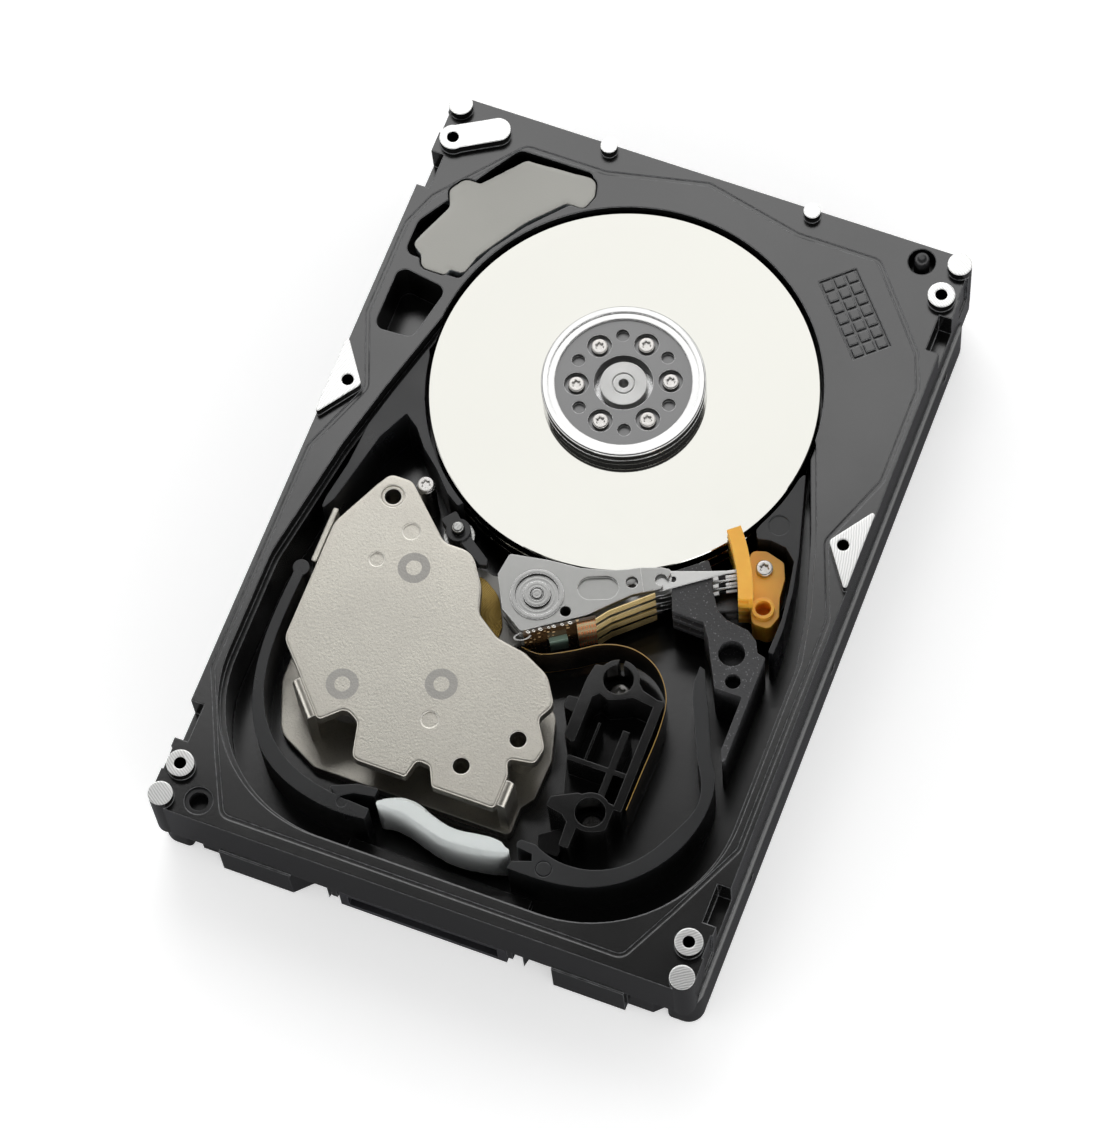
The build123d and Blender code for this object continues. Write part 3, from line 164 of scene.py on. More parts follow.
studio = {
    "softboxPlace": (-0.27, 0.57, 0.84),
    "softboxSize": (0.54, 0.64),
    "softboxPower": 2.55,
    "fillPlace": (0.70, -0.55, 0.42),
    "fillSize": 0.25,
    "fillPower": 0.55,
    "skyLow": 2.3,
    "skyHigh": 0.07,
    "skyFrom": 0.34,
    "skyTo": 0.66,
}


def makeStudio():
    scene = bpy.context.scene
    scene.view_settings.view_transform = "Standard"
    bpy.ops.mesh.primitive_plane_add(size=6, location=(0, 0, -0.0004))
    floor = settle(named("floor"))
    floor.data.materials.append(floorFinish())
    bpy.ops.object.light_add(type="AREA", location=studio["softboxPlace"])
    softbox = bpy.context.object
    softbox.data.shape = "RECTANGLE"
    softbox.data.size, softbox.data.size_y = studio["softboxSize"]
    softbox.data.energy = studio["softboxPower"]
    softbox.rotation_euler = Vector(studio["softboxPlace"]).to_track_quat("Z", "Y").to_euler()
    bpy.ops.object.light_add(type="AREA", location=studio["fillPlace"])
    fill = bpy.context.object
    fill.data.size = studio["fillSize"]
    fill.data.energy = studio["fillPower"]
    fill.rotation_euler = Vector(studio["fillPlace"]).to_track_quat("Z", "Y").to_euler()
    world = bpy.data.worlds.new("studio")
    world.use_nodes = True
    scene.world = world
    tree = world.node_tree
    coords = tree.nodes.new("ShaderNodeTexCoord")
    split = tree.nodes.new("ShaderNodeSeparateXYZ")
    ramp = tree.nodes.new("ShaderNodeMapRange")
    ramp.inputs["From Min"].default_value = studio["skyFrom"]
    ramp.inputs["From Max"].default_value = studio["skyTo"]
    ramp.inputs["To Min"].default_value = studio["skyLow"]
    ramp.inputs["To Max"].default_value = studio["skyHigh"]
    background = tree.nodes["Background"]
    background.inputs["Color"].default_value = (1, 1, 1, 1)
    tree.links.new(coords.outputs["Generated"], split.inputs[0])
    tree.links.new(split.outputs["Z"], ramp.inputs["Value"])
    tree.links.new(ramp.outputs["Result"], background.inputs["Strength"])


# shared effects, as node groups

def newGroup(name, inputs, outputs):
    group = bpy.data.node_groups.new(name, "ShaderNodeTree")
    for label, kind, value in inputs:
        socket = group.interface.new_socket(label, in_out="INPUT", socket_type=kind)
        socket.default_value = value
    for label, kind in outputs:
        group.interface.new_socket(label, in_out="OUTPUT", socket_type=kind)
    return group, group.nodes.new("NodeGroupInput"), group.nodes.new("NodeGroupOutput")


def wire(tree, source, target):
    tree.links.new(source, target)


def mathNode(tree, operation, first, second=0.5, third=None):
    node = tree.nodes.new("ShaderNodeMath")
    node.operation = operation
    for index, value in enumerate((first, second, third)):
        if value is None:
            continue
        if isinstance(value, (int, float)):
            node.inputs[index].default_value = value
        else:
            wire(tree, value, node.inputs[index])
    return node.outputs[0]


def fitRange(tree, value, fromLow, fromHigh, toLow, toHigh):
    node = tree.nodes.new("ShaderNodeMapRange")
    wire(tree, value, node.inputs["Value"])
    for label, number in (("From Min", fromLow), ("From Max", fromHigh), ("To Min", toLow),
                          ("To Max", toHigh)):
        if isinstance(number, (int, float)):
            node.inputs[label].default_value = number
        else:
            wire(tree, number, node.inputs[label])
    return node.outputs["Result"]


def noise(tree, vector, scale, detail=4.0, rough=0.55):
    node = tree.nodes.new("ShaderNodeTexNoise")
    wire(tree, vector, node.inputs["Vector"])
    if isinstance(scale, (int, float)):
        node.inputs["Scale"].default_value = scale
    else:
        wire(tree, scale, node.inputs["Scale"])
    node.inputs["Detail"].default_value = detail
    node.inputs["Roughness"].default_value = rough
    return node.outputs["Fac"]


def objectCoords(tree):
    return tree.nodes.new("ShaderNodeTexCoord").outputs["Object"]


def edgeGroup():
    # lighter edges, partly wear and partly a painted highlight: where a rounded normal departs from the flat
    # one
    group, given, out = newGroup(
        "edgeWearAndHighlight",
        [("Radius", "NodeSocketFloat", 0.0003), ("Amount", "NodeSocketFloat", 1.0),
         ("Breakup", "NodeSocketFloat", 900.0)],
        [("Mask", "NodeSocketFloat"), ("Normal", "NodeSocketVector")])
    bevel = group.nodes.new("ShaderNodeBevel")
    bevel.samples = 6
    wire(group, given.outputs["Radius"], bevel.inputs["Radius"])
    geometry = group.nodes.new("ShaderNodeNewGeometry")
    dot = group.nodes.new("ShaderNodeVectorMath")
    dot.operation = "DOT_PRODUCT"
    wire(group, bevel.outputs["Normal"], dot.inputs[0])
    wire(group, geometry.outputs["True Normal"], dot.inputs[1])
    turn = mathNode(group, "SUBTRACT", 1.0, dot.outputs["Value"])
    spread = fitRange(group, turn, 0.01, 0.22, 0.0, 1.0)
    patches = noise(group, objectCoords(group), given.outputs["Breakup"])
    broken = fitRange(group, patches, 0.3, 0.6, 0.25, 1.0)
    mask = mathNode(group, "MULTIPLY", spread, broken)
    wire(group, mathNode(group, "MULTIPLY", mask, given.outputs["Amount"]), out.inputs["Mask"])
    wire(group, bevel.outputs["Normal"], out.inputs["Normal"])
    return group


def grainGroup():
    # fine surface grain with slow blotches, for castings and mouldings
    group, given, out = newGroup(
        "surfaceGrain",
        [("Fine", "NodeSocketFloat", 3000.0), ("Blotch", "NodeSocketFloat", 60.0)],
        [("Height", "NodeSocketFloat"), ("Tone", "NodeSocketFloat")])
    where = objectCoords(group)
    fine = noise(group, where, given.outputs["Fine"], 3.0, 0.6)
    slow = noise(group, where, given.outputs["Blotch"], 5.0, 0.55)
    wire(group, fine, out.inputs["Height"])
    wire(group, fitRange(group, slow, 0.3, 0.7, 0.0, 1.0), out.inputs["Tone"])
    return group


def speckGroup():
    # scattered small specks
    group, given, out = newGroup(
        "specks",
        [("Scale", "NodeSocketFloat", 2500.0), ("Share", "NodeSocketFloat", 0.2)],
        [("Mask", "NodeSocketFloat")])
    cells = group.nodes.new("ShaderNodeTexVoronoi")
    wire(group, objectCoords(group), cells.inputs["Vector"])
    wire(group, given.outputs["Scale"], cells.inputs["Scale"])
    split = group.nodes.new("ShaderNodeSeparateColor")
    wire(group, cells.outputs["Color"], split.inputs[0])
    chosen = mathNode(group, "LESS_THAN", split.outputs[0], given.outputs["Share"])
    near = mathNode(group, "LESS_THAN", cells.outputs["Distance"], 0.42)
    wire(group, mathNode(group, "MULTIPLY", chosen, near), out.inputs["Mask"])
    return group


def latheGroup():
    # concentric turning marks about a vertical axis at the mapped centre
    group, given, out = newGroup(
        "turningMarks",
        [("Vector", "NodeSocketVector", (0, 0, 0)), ("Pitch", "NodeSocketFloat", 0.00012)],
        [("Height", "NodeSocketFloat"), ("Radius", "NodeSocketFloat")])
    split = group.nodes.new("ShaderNodeSeparateXYZ")
    wire(group, given.outputs["Vector"], split.inputs[0])
    xx = mathNode(group, "MULTIPLY", split.outputs["X"], split.outputs["X"])
    sum2 = mathNode(group, "MULTIPLY_ADD", split.outputs["Y"], split.outputs["Y"], xx)
    radius = mathNode(group, "SQRT", sum2)
    turns = mathNode(group, "DIVIDE", radius, given.outputs["Pitch"])
    grooves = mathNode(group, "SINE", mathNode(group, "MULTIPLY", turns, 2 * math.pi))
    wobble = noise(group, given.outputs["Vector"], 2500.0)
    wire(group, mathNode(group, "MULTIPLY_ADD", wobble, 1.2, grooves), out.inputs["Height"])
    wire(group, radius, out.inputs["Radius"])
    return group


groups = {"edge": edgeGroup(), "grain": grainGroup(), "speck": speckGroup(), "lathe": latheGroup()}


def useGroup(tree, key, **values):
    node = tree.nodes.new("ShaderNodeGroup")
    node.node_tree = groups[key]
    for label, value in values.items():
        if isinstance(value, (int, float)):
            node.inputs[label].default_value = value
        else:
            wire(tree, value, node.inputs[label])
    return node.outputs


def mixColour(tree, factor, first, second):
    node = tree.nodes.new("ShaderNodeMix")
    node.data_type = "RGBA"
    for socket, value in ((node.inputs[0], factor), (node.inputs[6], first), (node.inputs[7], second)):
        if isinstance(value, tuple):
            socket.default_value = (*value, 1.0)
        elif isinstance(value, (int, float)):
            socket.default_value = value
        else:
            wire(tree, value, socket)
    return node.outputs[2]


def bumped(tree, shader, height, strength, distance, normal=None):
    node = tree.nodes.new("ShaderNodeBump")
    node.inputs["Strength"].default_value = strength
    node.inputs["Distance"].default_value = distance
    wire(tree, height, node.inputs["Height"])
    if normal is not None:
        wire(tree, normal, node.inputs["Normal"])
    wire(tree, node.outputs["Normal"], shader.inputs["Normal"])


def newMaterial(name, **constants):
    material = bpy.data.materials.new(name)
    material.use_nodes = True
    tree = material.node_tree
    shader = tree.nodes["Principled BSDF"]
    for label, value in constants.items():
        socket = shader.inputs[label.replace("_", " ")]
        socket.default_value = (*value, 1.0) if isinstance(value, tuple) and len(value) == 3 else value
    return material, tree, shader


def surface(name, look):
    # one finish: two tones, grain, edges painted lighter, partly wear and partly a painted highlight
    material, tree, shader = newMaterial(name, **look.get("constants", {}))
    grain = useGroup(tree, "grain", Fine=look["fine"], Blotch=look.get("blotch", 90.0))
    edge = useGroup(tree, "edge", Radius=0.0002, Amount=look.get("edge", 0.6))
    colour = mixColour(tree, grain["Tone"], look["colour"], look["second"])
    if "speck" in look:
        share, scale, tone = look["speck"]
        specks = useGroup(tree, "speck", Scale=scale, Share=share)
        colour = mixColour(tree, specks["Mask"], colour, tone)
    # painted highlight: edgeColour goes on the edge mask, partly wear and partly a painted highlight
    colour = mixColour(tree, edge["Mask"], colour, look.get("edgeColour", look["second"]))
    wire(tree, colour, shader.inputs["Base Color"])
    low, high = look["rough"]
    wire(tree, fitRange(tree, grain["Tone"], 0.0, 1.0, low, high), shader.inputs["Roughness"])
    bumped(tree, shader, grain["Height"], look.get("bump", 0.2), look.get("depth", 0.00003), edge["Normal"])
    return material


def floorFinish():
    # pale paper floor; to glossy rays it shows a painted dark grey, a painted reflection standing in for
    # black cards beside the set
    material, tree, shader = newMaterial("paleFloor", Roughness=0.8, Emission_Color=(1.0, 1.0, 1.0))
    tone = noise(tree, objectCoords(tree), 3.0)
    pale = mixColour(tree, tone, (0.93, 0.93, 0.93), (0.96, 0.96, 0.96))
    rays = tree.nodes.new("ShaderNodeLightPath")
    # painted reflection: glossy rays see dark grey in place of the pale paper
    wire(tree, mixColour(tree, rays.outputs["Is Glossy Ray"], pale, (0.2, 0.2, 0.21)),
         shader.inputs["Base Color"])
    glow = mathNode(tree, "MULTIPLY", rays.outputs["Is Camera Ray"], 0.4)
    wire(tree, glow, shader.inputs["Emission Strength"])
    return material


# finishes of the drive's pieces

# edgeColour is the colour painted on edges, partly wear and partly a painted highlight
plainLooks = {
    "black_pin": {"colour": (0.012, 0.012, 0.013), "second": (0.02, 0.02, 0.021), "fine": 2500,
                  "rough": (0.25, 0.4),
                  "edgeColour": (0.08, 0.08, 0.08)},
    "core_steel": {"colour": (0.18, 0.18, 0.19), "second": (0.3, 0.3, 0.31), "fine": 4000,
                   "rough": (0.35, 0.5),
                   "constants": {"Metallic": 1.0}},
    "magnet": {"colour": (0.55, 0.55, 0.54), "second": (0.68, 0.67, 0.65), "fine": 2600,
               "rough": (0.12, 0.24),
               "constants": {"Metallic": 1.0}},
    "stop_rubber": {"colour": (0.012, 0.012, 0.012), "second": (0.03, 0.03, 0.03), "fine": 5000,
                    "rough": (0.6, 0.8)},
    "amber_plastic": {"colour": (0.84, 0.40, 0.035), "second": (0.95, 0.52, 0.07), "fine": 1800,
                      "rough": (0.28, 0.42),
                      "edgeColour": (1.0, 0.72, 0.25), "bump": 0.12, "blotch": 140,
                      "constants": {"Subsurface_Weight": 0.25, "Subsurface_Scale": 0.001}},
    "cast_post": {"colour": (0.012, 0.012, 0.013), "second": (0.02, 0.02, 0.02), "fine": 2500,
                  "rough": (0.35, 0.5)},
    "screw_steel": {"colour": (0.42, 0.41, 0.4), "second": (0.62, 0.6, 0.57), "fine": 5000,
                    "rough": (0.22, 0.38),
                    "edgeColour": (0.85, 0.84, 0.82), "constants": {"Metallic": 1.0}},
    "textured_black": {"colour": (0.03, 0.03, 0.031), "second": (0.05, 0.05, 0.052), "fine": 2200,
                       "rough": (0.4, 0.6),
                       "bump": 0.8, "depth": 0.00008, "speck": (0.16, 3200, (0.13, 0.13, 0.135)),
                       "edgeColour": (0.16, 0.16, 0.165)},
    "satin_black": {"colour": (0.008, 0.0085, 0.009), "second": (0.013, 0.0135, 0.0145), "fine": 2600,
                    "rough": (0.26, 0.36), "edgeColour": (0.13, 0.135, 0.145), "edge": 0.6},
    "gloss_black": {"colour": (0.006, 0.006, 0.006), "second": (0.012, 0.012, 0.012), "fine": 1200,
                    "rough": (0.08, 0.16), "edgeColour": (0.1, 0.1, 0.1), "bump": 0.08},
    "board_green": {"colour": (0.006, 0.045, 0.03), "second": (0.01, 0.06, 0.04), "fine": 3000,
                    "rough": (0.25, 0.35),
                    "speck": (0.05, 900, (0.35, 0.3, 0.16))},
    "foam": {"colour": (0.02, 0.02, 0.022), "second": (0.04, 0.04, 0.043), "fine": 3500, "rough": (0.8, 0.95),
             "bump": 0.7, "depth": 0.0001},
    "chip_black": {"colour": (0.014, 0.014, 0.015), "second": (0.025, 0.025, 0.026), "fine": 5000,
                   "rough": (0.4, 0.55), "bump": 0.4},
    "connector_black": {"colour": (0.012, 0.012, 0.014), "second": (0.022, 0.022, 0.025), "fine": 3200,
                        "rough": (0.32, 0.5), "edgeColour": (0.16, 0.17, 0.19)},
    "gold_contact": {"colour": (0.83, 0.55, 0.17), "second": (0.93, 0.68, 0.3), "fine": 4000,
                     "rough": (0.2, 0.3),
                     "constants": {"Metallic": 1.0}},
    "beam_steel": {"colour": (0.40, 0.40, 0.39), "second": (0.58, 0.58, 0.57), "fine": 4000,
                   "rough": (0.24, 0.38),
                   "edgeColour": (0.95, 0.95, 0.95), "constants": {"Metallic": 1.0}},
    "slider_ceramic": {"colour": (0.02, 0.02, 0.022), "second": (0.05, 0.05, 0.055), "fine": 9000,
                       "rough": (0.2, 0.3)},
    "carrier_plastic": {"colour": (0.46, 0.45, 0.43), "second": (0.58, 0.57, 0.54), "fine": 3000,
                        "rough": (0.4, 0.55)},
    "arm_board": {"colour": (0.035, 0.018, 0.008), "second": (0.075, 0.04, 0.016), "fine": 2400,
                  "rough": (0.12, 0.24), "speck": (0.2, 1400, (0.55, 0.38, 0.2)),
                  "edgeColour": (0.5, 0.4, 0.25)},
    "green_glass": {"colour": (0.16, 0.27, 0.21), "second": (0.3, 0.42, 0.34), "fine": 1800,
                    "rough": (0.08, 0.16), "edgeColour": (0.6, 0.72, 0.64)},
    "pad_beige": {"colour": (0.52, 0.40, 0.22), "second": (0.66, 0.52, 0.32), "fine": 2400,
                  "rough": (0.35, 0.5), "edgeColour": (0.8, 0.68, 0.46)},
    "pad_orange": {"colour": (0.72, 0.26, 0.1), "second": (0.84, 0.38, 0.18), "fine": 3000,
                   "rough": (0.3, 0.42)},
    "solder": {"colour": (0.62, 0.6, 0.56), "second": (0.78, 0.76, 0.72), "fine": 3000, "rough": (0.12, 0.24),
               "constants": {"Metallic": 1.0}},
    "clear_clip": {"colour": (0.55, 0.55, 0.53), "second": (0.68, 0.68, 0.66), "fine": 2600,
                   "rough": (0.2, 0.32)},
}


castingLook = {"milledAbove": 0.02412, "coatRough": (0.17, 0.23), "swirlScale": 700, "milledRough": 0.12}


def castingFinish():
    # satin black coat; the boss tops are milled bare, with swirl marks
    material, tree, shader = newMaterial("casting", Specular_IOR_Level=0.85)
    where = objectCoords(tree)
    grain = useGroup(tree, "grain", Fine=1500, Blotch=35)
    edge = useGroup(tree, "edge", Radius=0.00032, Amount=0.85)
    split = tree.nodes.new("ShaderNodeSeparateXYZ")
    wire(tree, where, split.inputs[0])
    milled = mathNode(tree, "GREATER_THAN", split.outputs["Z"], castingLook["milledAbove"])
    coat = mixColour(tree, grain["Tone"], (0.0028, 0.0028, 0.0028), (0.0045, 0.0045, 0.0044))
    # painted highlight: the black coat's edges are painted light bluish grey, partly wear and partly a
    # painted highlight
    coat = mixColour(tree, edge["Mask"], coat, (0.2, 0.205, 0.215))
    swirl = tree.nodes.new("ShaderNodeTexWave")
    swirl.wave_type = "RINGS"
    swirl.rings_direction = "Z"
    swirl.inputs["Scale"].default_value = castingLook["swirlScale"]
    swirl.inputs["Distortion"].default_value = 2.5
    swirl.inputs["Detail"].default_value = 3
    wire(tree, where, swirl.inputs["Vector"])
    bare = mixColour(tree, swirl.outputs["Fac"], (0.62, 0.62, 0.61), (0.86, 0.86, 0.85))
    wire(tree, mixColour(tree, milled, coat, bare), shader.inputs["Base Color"])
    wire(tree, milled, shader.inputs["Metallic"])
    satin = fitRange(tree, grain["Tone"], 0.0, 1.0, *castingLook["coatRough"])
    rough = mathNode(tree, "ADD", satin, mathNode(tree, "MULTIPLY", milled, castingLook["milledRough"]))
    wire(tree, rough, shader.inputs["Roughness"])
    height = mathNode(tree, "ADD", grain["Height"], mathNode(tree, "MULTIPLY", milled, swirl.outputs["Fac"]))
    bumped(tree, shader, height, 0.16, 0.00004, edge["Normal"])
    return material


def turnedFinish(name, centre, look):
    # turned metal: grooves about a vertical axis through the centre
    material, tree, shader = newMaterial(name, Metallic=1.0)
    mapping = tree.nodes.new("ShaderNodeMapping")
    mapping.vector_type = "POINT"
    mapping.inputs["Location"].default_value = (-centre[0], -centre[1], 0)
    wire(tree, objectCoords(tree), mapping.inputs["Vector"])
    lathe = useGroup(tree, "lathe", Vector=mapping.outputs["Vector"], Pitch=look["pitch"])
    grain = useGroup(tree, "grain", Fine=3500, Blotch=120)
    edge = useGroup(tree, "edge", Radius=0.0002, Amount=0.7)
    colour = mixColour(tree, grain["Tone"], look["colour"], look["second"])
    if "dullInside" in look:
        radius, tone = look["dullInside"]
        inside = mathNode(tree, "LESS_THAN", lathe["Radius"], radius)
        colour = mixColour(tree, inside, colour, tone)
    # painted highlight: edges painted near white, partly wear and partly a painted highlight
    colour = mixColour(tree, edge["Mask"], colour, look.get("edgeColour", (0.92, 0.92, 0.91)))
    wire(tree, colour, shader.inputs["Base Color"])
    low, high = look["rough"]
    rough = fitRange(tree, grain["Tone"], 0.0, 1.0, low, high)
    if "dullInside" in look:
        rough = mathNode(tree, "MAXIMUM", rough, mathNode(tree, "MULTIPLY", inside, look["dullRough"]))
    wire(tree, rough, shader.inputs["Roughness"])
    bumped(tree, shader, lathe["Height"], look["bump"], 0.00002, edge["Normal"])
    return material


def topPlateFinish():
    # nickel plate with orange peel and three dull ring marks
    material, tree, shader = newMaterial("platedSteel", Metallic=1.0)
    where = objectCoords(tree)
    peel = noise(tree, where, 2600, 4.0, 0.7)
    slow = noise(tree, where, 70)
    edge = useGroup(tree, "edge", Radius=0.00035, Amount=0.7)
    flecks = useGroup(tree, "speck", Scale=4200, Share=0.22)
    colour = mixColour(tree, slow, (0.50, 0.48, 0.425), (0.58, 0.555, 0.50))
    colour = mixColour(tree, mathNode(tree, "MULTIPLY", flecks["Mask"], 0.35), colour, (0.32, 0.3, 0.27))
    ringMask = None
    for x, y in plateRings["centres"]:
        distance = tree.nodes.new("ShaderNodeVectorMath")
        distance.operation = "DISTANCE"
        flat = tree.nodes.new("ShaderNodeVectorMath")
        flat.operation = "MULTIPLY"
        flat.inputs[1].default_value = (1, 1, 0)
        wire(tree, where, flat.inputs[0])
        wire(tree, flat.outputs["Vector"], distance.inputs[0])
        distance.inputs[1].default_value = (x * mm, y * mm, 0)
        inner = mathNode(tree, "GREATER_THAN", distance.outputs["Value"], plateRings["inner"] * mm)
        outer = mathNode(tree, "LESS_THAN", distance.outputs["Value"], plateRings["outer"] * mm)
        one = mathNode(tree, "MULTIPLY", inner, outer)
        ringMask = one if ringMask is None else mathNode(tree, "MAXIMUM", ringMask, one)
    colour = mixColour(tree, mathNode(tree, "MULTIPLY", ringMask, 0.75), colour, (0.40, 0.39, 0.375))
    # painted highlight: the plate's edges are painted pale, partly wear and partly a painted highlight
    colour = mixColour(tree, edge["Mask"], colour, (0.86, 0.84, 0.8))
    wire(tree, colour, shader.inputs["Base Color"])
    rough = fitRange(tree, slow, 0.3, 0.7, 0.27, 0.38)
    wire(tree, mathNode(tree, "MULTIPLY_ADD", ringMask, 0.25, rough), shader.inputs["Roughness"])
    bumped(tree, shader, peel, 0.55, 0.00006, edge["Normal"])
    return material


plateRings = {"centres": ((-22.8, -16.4), (-10.2, -35.1), (-26.5, -41.0)), "inner": 1.4, "outer": 2.9}


def discFinish():
    material, tree, shader = newMaterial("discMirror", Metallic=1.0)
    where = objectCoords(tree)
    slow = noise(tree, where, 12.0, 2.0)
    haze = noise(tree, where, 300.0, 3.0)
    wire(tree, mixColour(tree, slow, (0.36, 0.358, 0.335), (0.39, 0.387, 0.362)), shader.inputs["Base Color"])
    wire(tree, fitRange(tree, haze, 0.3, 0.7, 0.04, 0.07), shader.inputs["Roughness"])
    bumped(tree, shader, slow, 0.02, 0.00001)
    return material


def flexFinish():
    # polyimide over copper traces that run along the ribbon, stacked in height
    material, tree, shader = newMaterial("flexFilm", Coat_Weight=0.4, Coat_Roughness=0.12)
    where = objectCoords(tree)
    split = tree.nodes.new("ShaderNodeSeparateXYZ")
    wire(tree, where, split.inputs[0])
    lanes = mathNode(tree, "FRACT", mathNode(tree, "MULTIPLY", split.outputs["Z"], 1 / (0.62 * mm)))
    trace = mathNode(tree, "GREATER_THAN", lanes, 0.42)
    slow = noise(tree, where, 400.0)
    film = mixColour(tree, slow, (0.52, 0.36, 0.13), (0.62, 0.44, 0.17))
    metal = mixColour(tree, slow, (0.74, 0.56, 0.25), (0.84, 0.66, 0.34))
    wire(tree, mixColour(tree, trace, film, metal), shader.inputs["Base Color"])
    wire(tree, mathNode(tree, "MULTIPLY", trace, 0.25), shader.inputs["Metallic"])
    wire(tree, fitRange(tree, slow, 0.3, 0.7, 0.25, 0.4), shader.inputs["Roughness"])
    bumped(tree, shader, trace, 0.35, 0.00003)
    return material


def clothFinish():
    # pale woven filter cloth
    material, tree, shader = newMaterial("filterCloth", Roughness=0.75, Sheen_Weight=0.3)
    where = objectCoords(tree)
    waves = []
    for direction in ("X", "Z"):
        weave = tree.nodes.new("ShaderNodeTexWave")
        weave.bands_direction = direction
        weave.inputs["Scale"].default_value = 1500
        weave.inputs["Distortion"].default_value = 0.6
        wire(tree, where, weave.inputs["Vector"])
        waves.append(weave.outputs["Fac"])
    height = mathNode(tree, "MULTIPLY", waves[0], waves[1])
    slow = noise(tree, where, 150.0)
    colour = mixColour(tree, slow, (0.70, 0.75, 0.74), (0.84, 0.87, 0.85))
    # painted highlight: the raised crossings of the weave are painted lighter and bluish
    wire(tree, mixColour(tree, mathNode(tree, "MULTIPLY", height, 0.25), colour, (0.85, 0.9, 0.92)),
         shader.inputs["Base Color"])
    bumped(tree, shader, height, 0.35, 0.00004)
    return material


def padFinish():
    # warm grey membrane with a bluish speckled rim, lower than the crown
    material, tree, shader = newMaterial("filterFilm", Roughness=0.6)
    where = objectCoords(tree)
    split = tree.nodes.new("ShaderNodeSeparateXYZ")
    wire(tree, where, split.inputs[0])
    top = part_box("filter_pad")[1].z
    wavy = mathNode(tree, "MULTIPLY_ADD", noise(tree, where, 900.0), 0.0003, split.outputs["Z"])
    rim = fitRange(tree, wavy, top - 0.00032, top - 0.00012, 1.0, 0.0)
    slow = noise(tree, where, 60.0)
    face = mixColour(tree, slow, (0.40, 0.395, 0.365), (0.46, 0.455, 0.42))
    flecks = useGroup(tree, "speck", Scale=3600, Share=0.45)
    edgeTone = mixColour(tree, flecks["Mask"], (0.32, 0.36, 0.38), (0.6, 0.64, 0.66))
    wire(tree, mixColour(tree, rim, face, edgeTone), shader.inputs["Base Color"])
    bumped(tree, shader, noise(tree, where, 3500.0), 0.5, 0.00005)
    return material


spindleCentre = (-0.39 * mm, 28.75 * mm)
pivotCentre = (-0.41 * mm, -14.06 * mm)
coilCentre = (-11.99 * mm, -19.96 * mm)
turnedLooks = {
    "bearing_steel": (pivotCentre, {"colour": (0.26, 0.26, 0.255), "second": (0.36, 0.36, 0.35),
                                    "pitch": 0.0006,
                                    "rough": (0.2, 0.3), "bump": 0.1}),
    "hub_alloy": (spindleCentre, {"colour": (0.6, 0.6, 0.6), "second": (0.74, 0.74, 0.74), "pitch": 0.00014,
                                  "rough": (0.12, 0.24), "bump": 0.25}),
    "clamp_steel": (spindleCentre, {"colour": (0.40, 0.40, 0.395), "second": (0.48, 0.48, 0.475),
                                    "pitch": 0.0004,
                                    "rough": (0.07, 0.14), "bump": 0.06,
                                    "dullInside": (0.0123, (0.24, 0.24, 0.24)),
                                    "dullRough": 0.42}),
    "arm_alloy": (pivotCentre, {"colour": (0.38, 0.38, 0.37), "second": (0.47, 0.47, 0.455), "pitch": 0.00016,
                                "rough": (0.36, 0.46), "bump": 0.12}),
    "copper_wire": (coilCentre, {"colour": (0.24, 0.155, 0.04), "second": (0.36, 0.25, 0.08),
                                 "pitch": 0.00024,
                                 "rough": (0.24, 0.36), "bump": 0.7, "edgeColour": (0.5, 0.36, 0.14)}),
    "hub_face": (spindleCentre, {"colour": (0.5, 0.5, 0.49), "second": (0.6, 0.6, 0.59), "pitch": 0.0002,
                                 "rough": (0.3, 0.42), "bump": 0.3}),
}
ownFinish = {"arm_flex_board": "arm_board", "preamp_chip": "green_glass", "spindle_shaft": "hub_face"}
finishes = {name: surface(name, look) for name, look in plainLooks.items()}
finishes.update({name: turnedFinish(name, centre, look) for name, (centre, look) in turnedLooks.items()})
finishes.update({
    "casting": castingFinish(), "plated_steel": topPlateFinish(), "disc_mirror": discFinish(),
    "flex_film": flexFinish(), "filter_cloth": clothFinish(),
    "filter_film": padFinish(),
})
print("finishes ready:", len(finishes))


def dressNodes():
    # every CAD node gets the finish of its slot
    slots = {part["node"]: part["material_slot"] for part in frame["record"]["subparts"]}
    for name, thing in nodes.items():
        thing.data.materials.clear()
        thing.data.materials.append(finishes[ownFinish.get(name, slots[name])])


makeCamera()
makeStudio()
dressNodes()
print("camera, studio and nodes ready")

# new pieces

softScale = 20.0   # soft pieces are simulated large, then brought back to size


def puffed(thing, voxel, pressure, cap, frames=20):
    # remesh, inflate under pressure, cap the swelling, then subdivide
    pick(thing)
    thing.scale = (softScale,) * 3
    settle(thing)
    thing.data.remesh_voxel_size = voxel * softScale
    bpy.ops.object.voxel_remesh()
    start = [vertex.co.copy() for vertex in thing.data.vertices]
    cloth = thing.modifiers.new("Cloth", "CLOTH")
    cloth.settings.use_pressure = True
    cloth.settings.uniform_pressure_force = pressure
    cloth.settings.effector_weights.gravity = 0
    cloth.settings.quality = 4
    for number in range(1, frames + 1):
        bpy.context.scene.frame_set(number)
    pick(thing)
    bpy.ops.object.modifier_apply(modifier=cloth.name)
    bpy.context.scene.frame_set(1)
    for vertex, place in zip(thing.data.vertices, start):
        step = vertex.co - place
        if step.length > cap * softScale:
            vertex.co = place + step.normalized() * cap * softScale
    thing.scale = (1 / softScale,) * 3
    settle(thing)
    applyModifier(thing, "SUBSURF", levels=1, render_levels=1)
    pick(thing)
    bpy.ops.object.shade_smooth()
    return thing


def copyNode(nodeName, name):
    pick(nodes[nodeName])
    bpy.ops.object.duplicate()
    thing = named(name)
    thing.parent = None
    for key in list(thing.keys()):
        del thing[key]
    return outward(thing)


padLook = {"voxel": 0.00028, "pressure": 2.0, "cap": 0.0002}


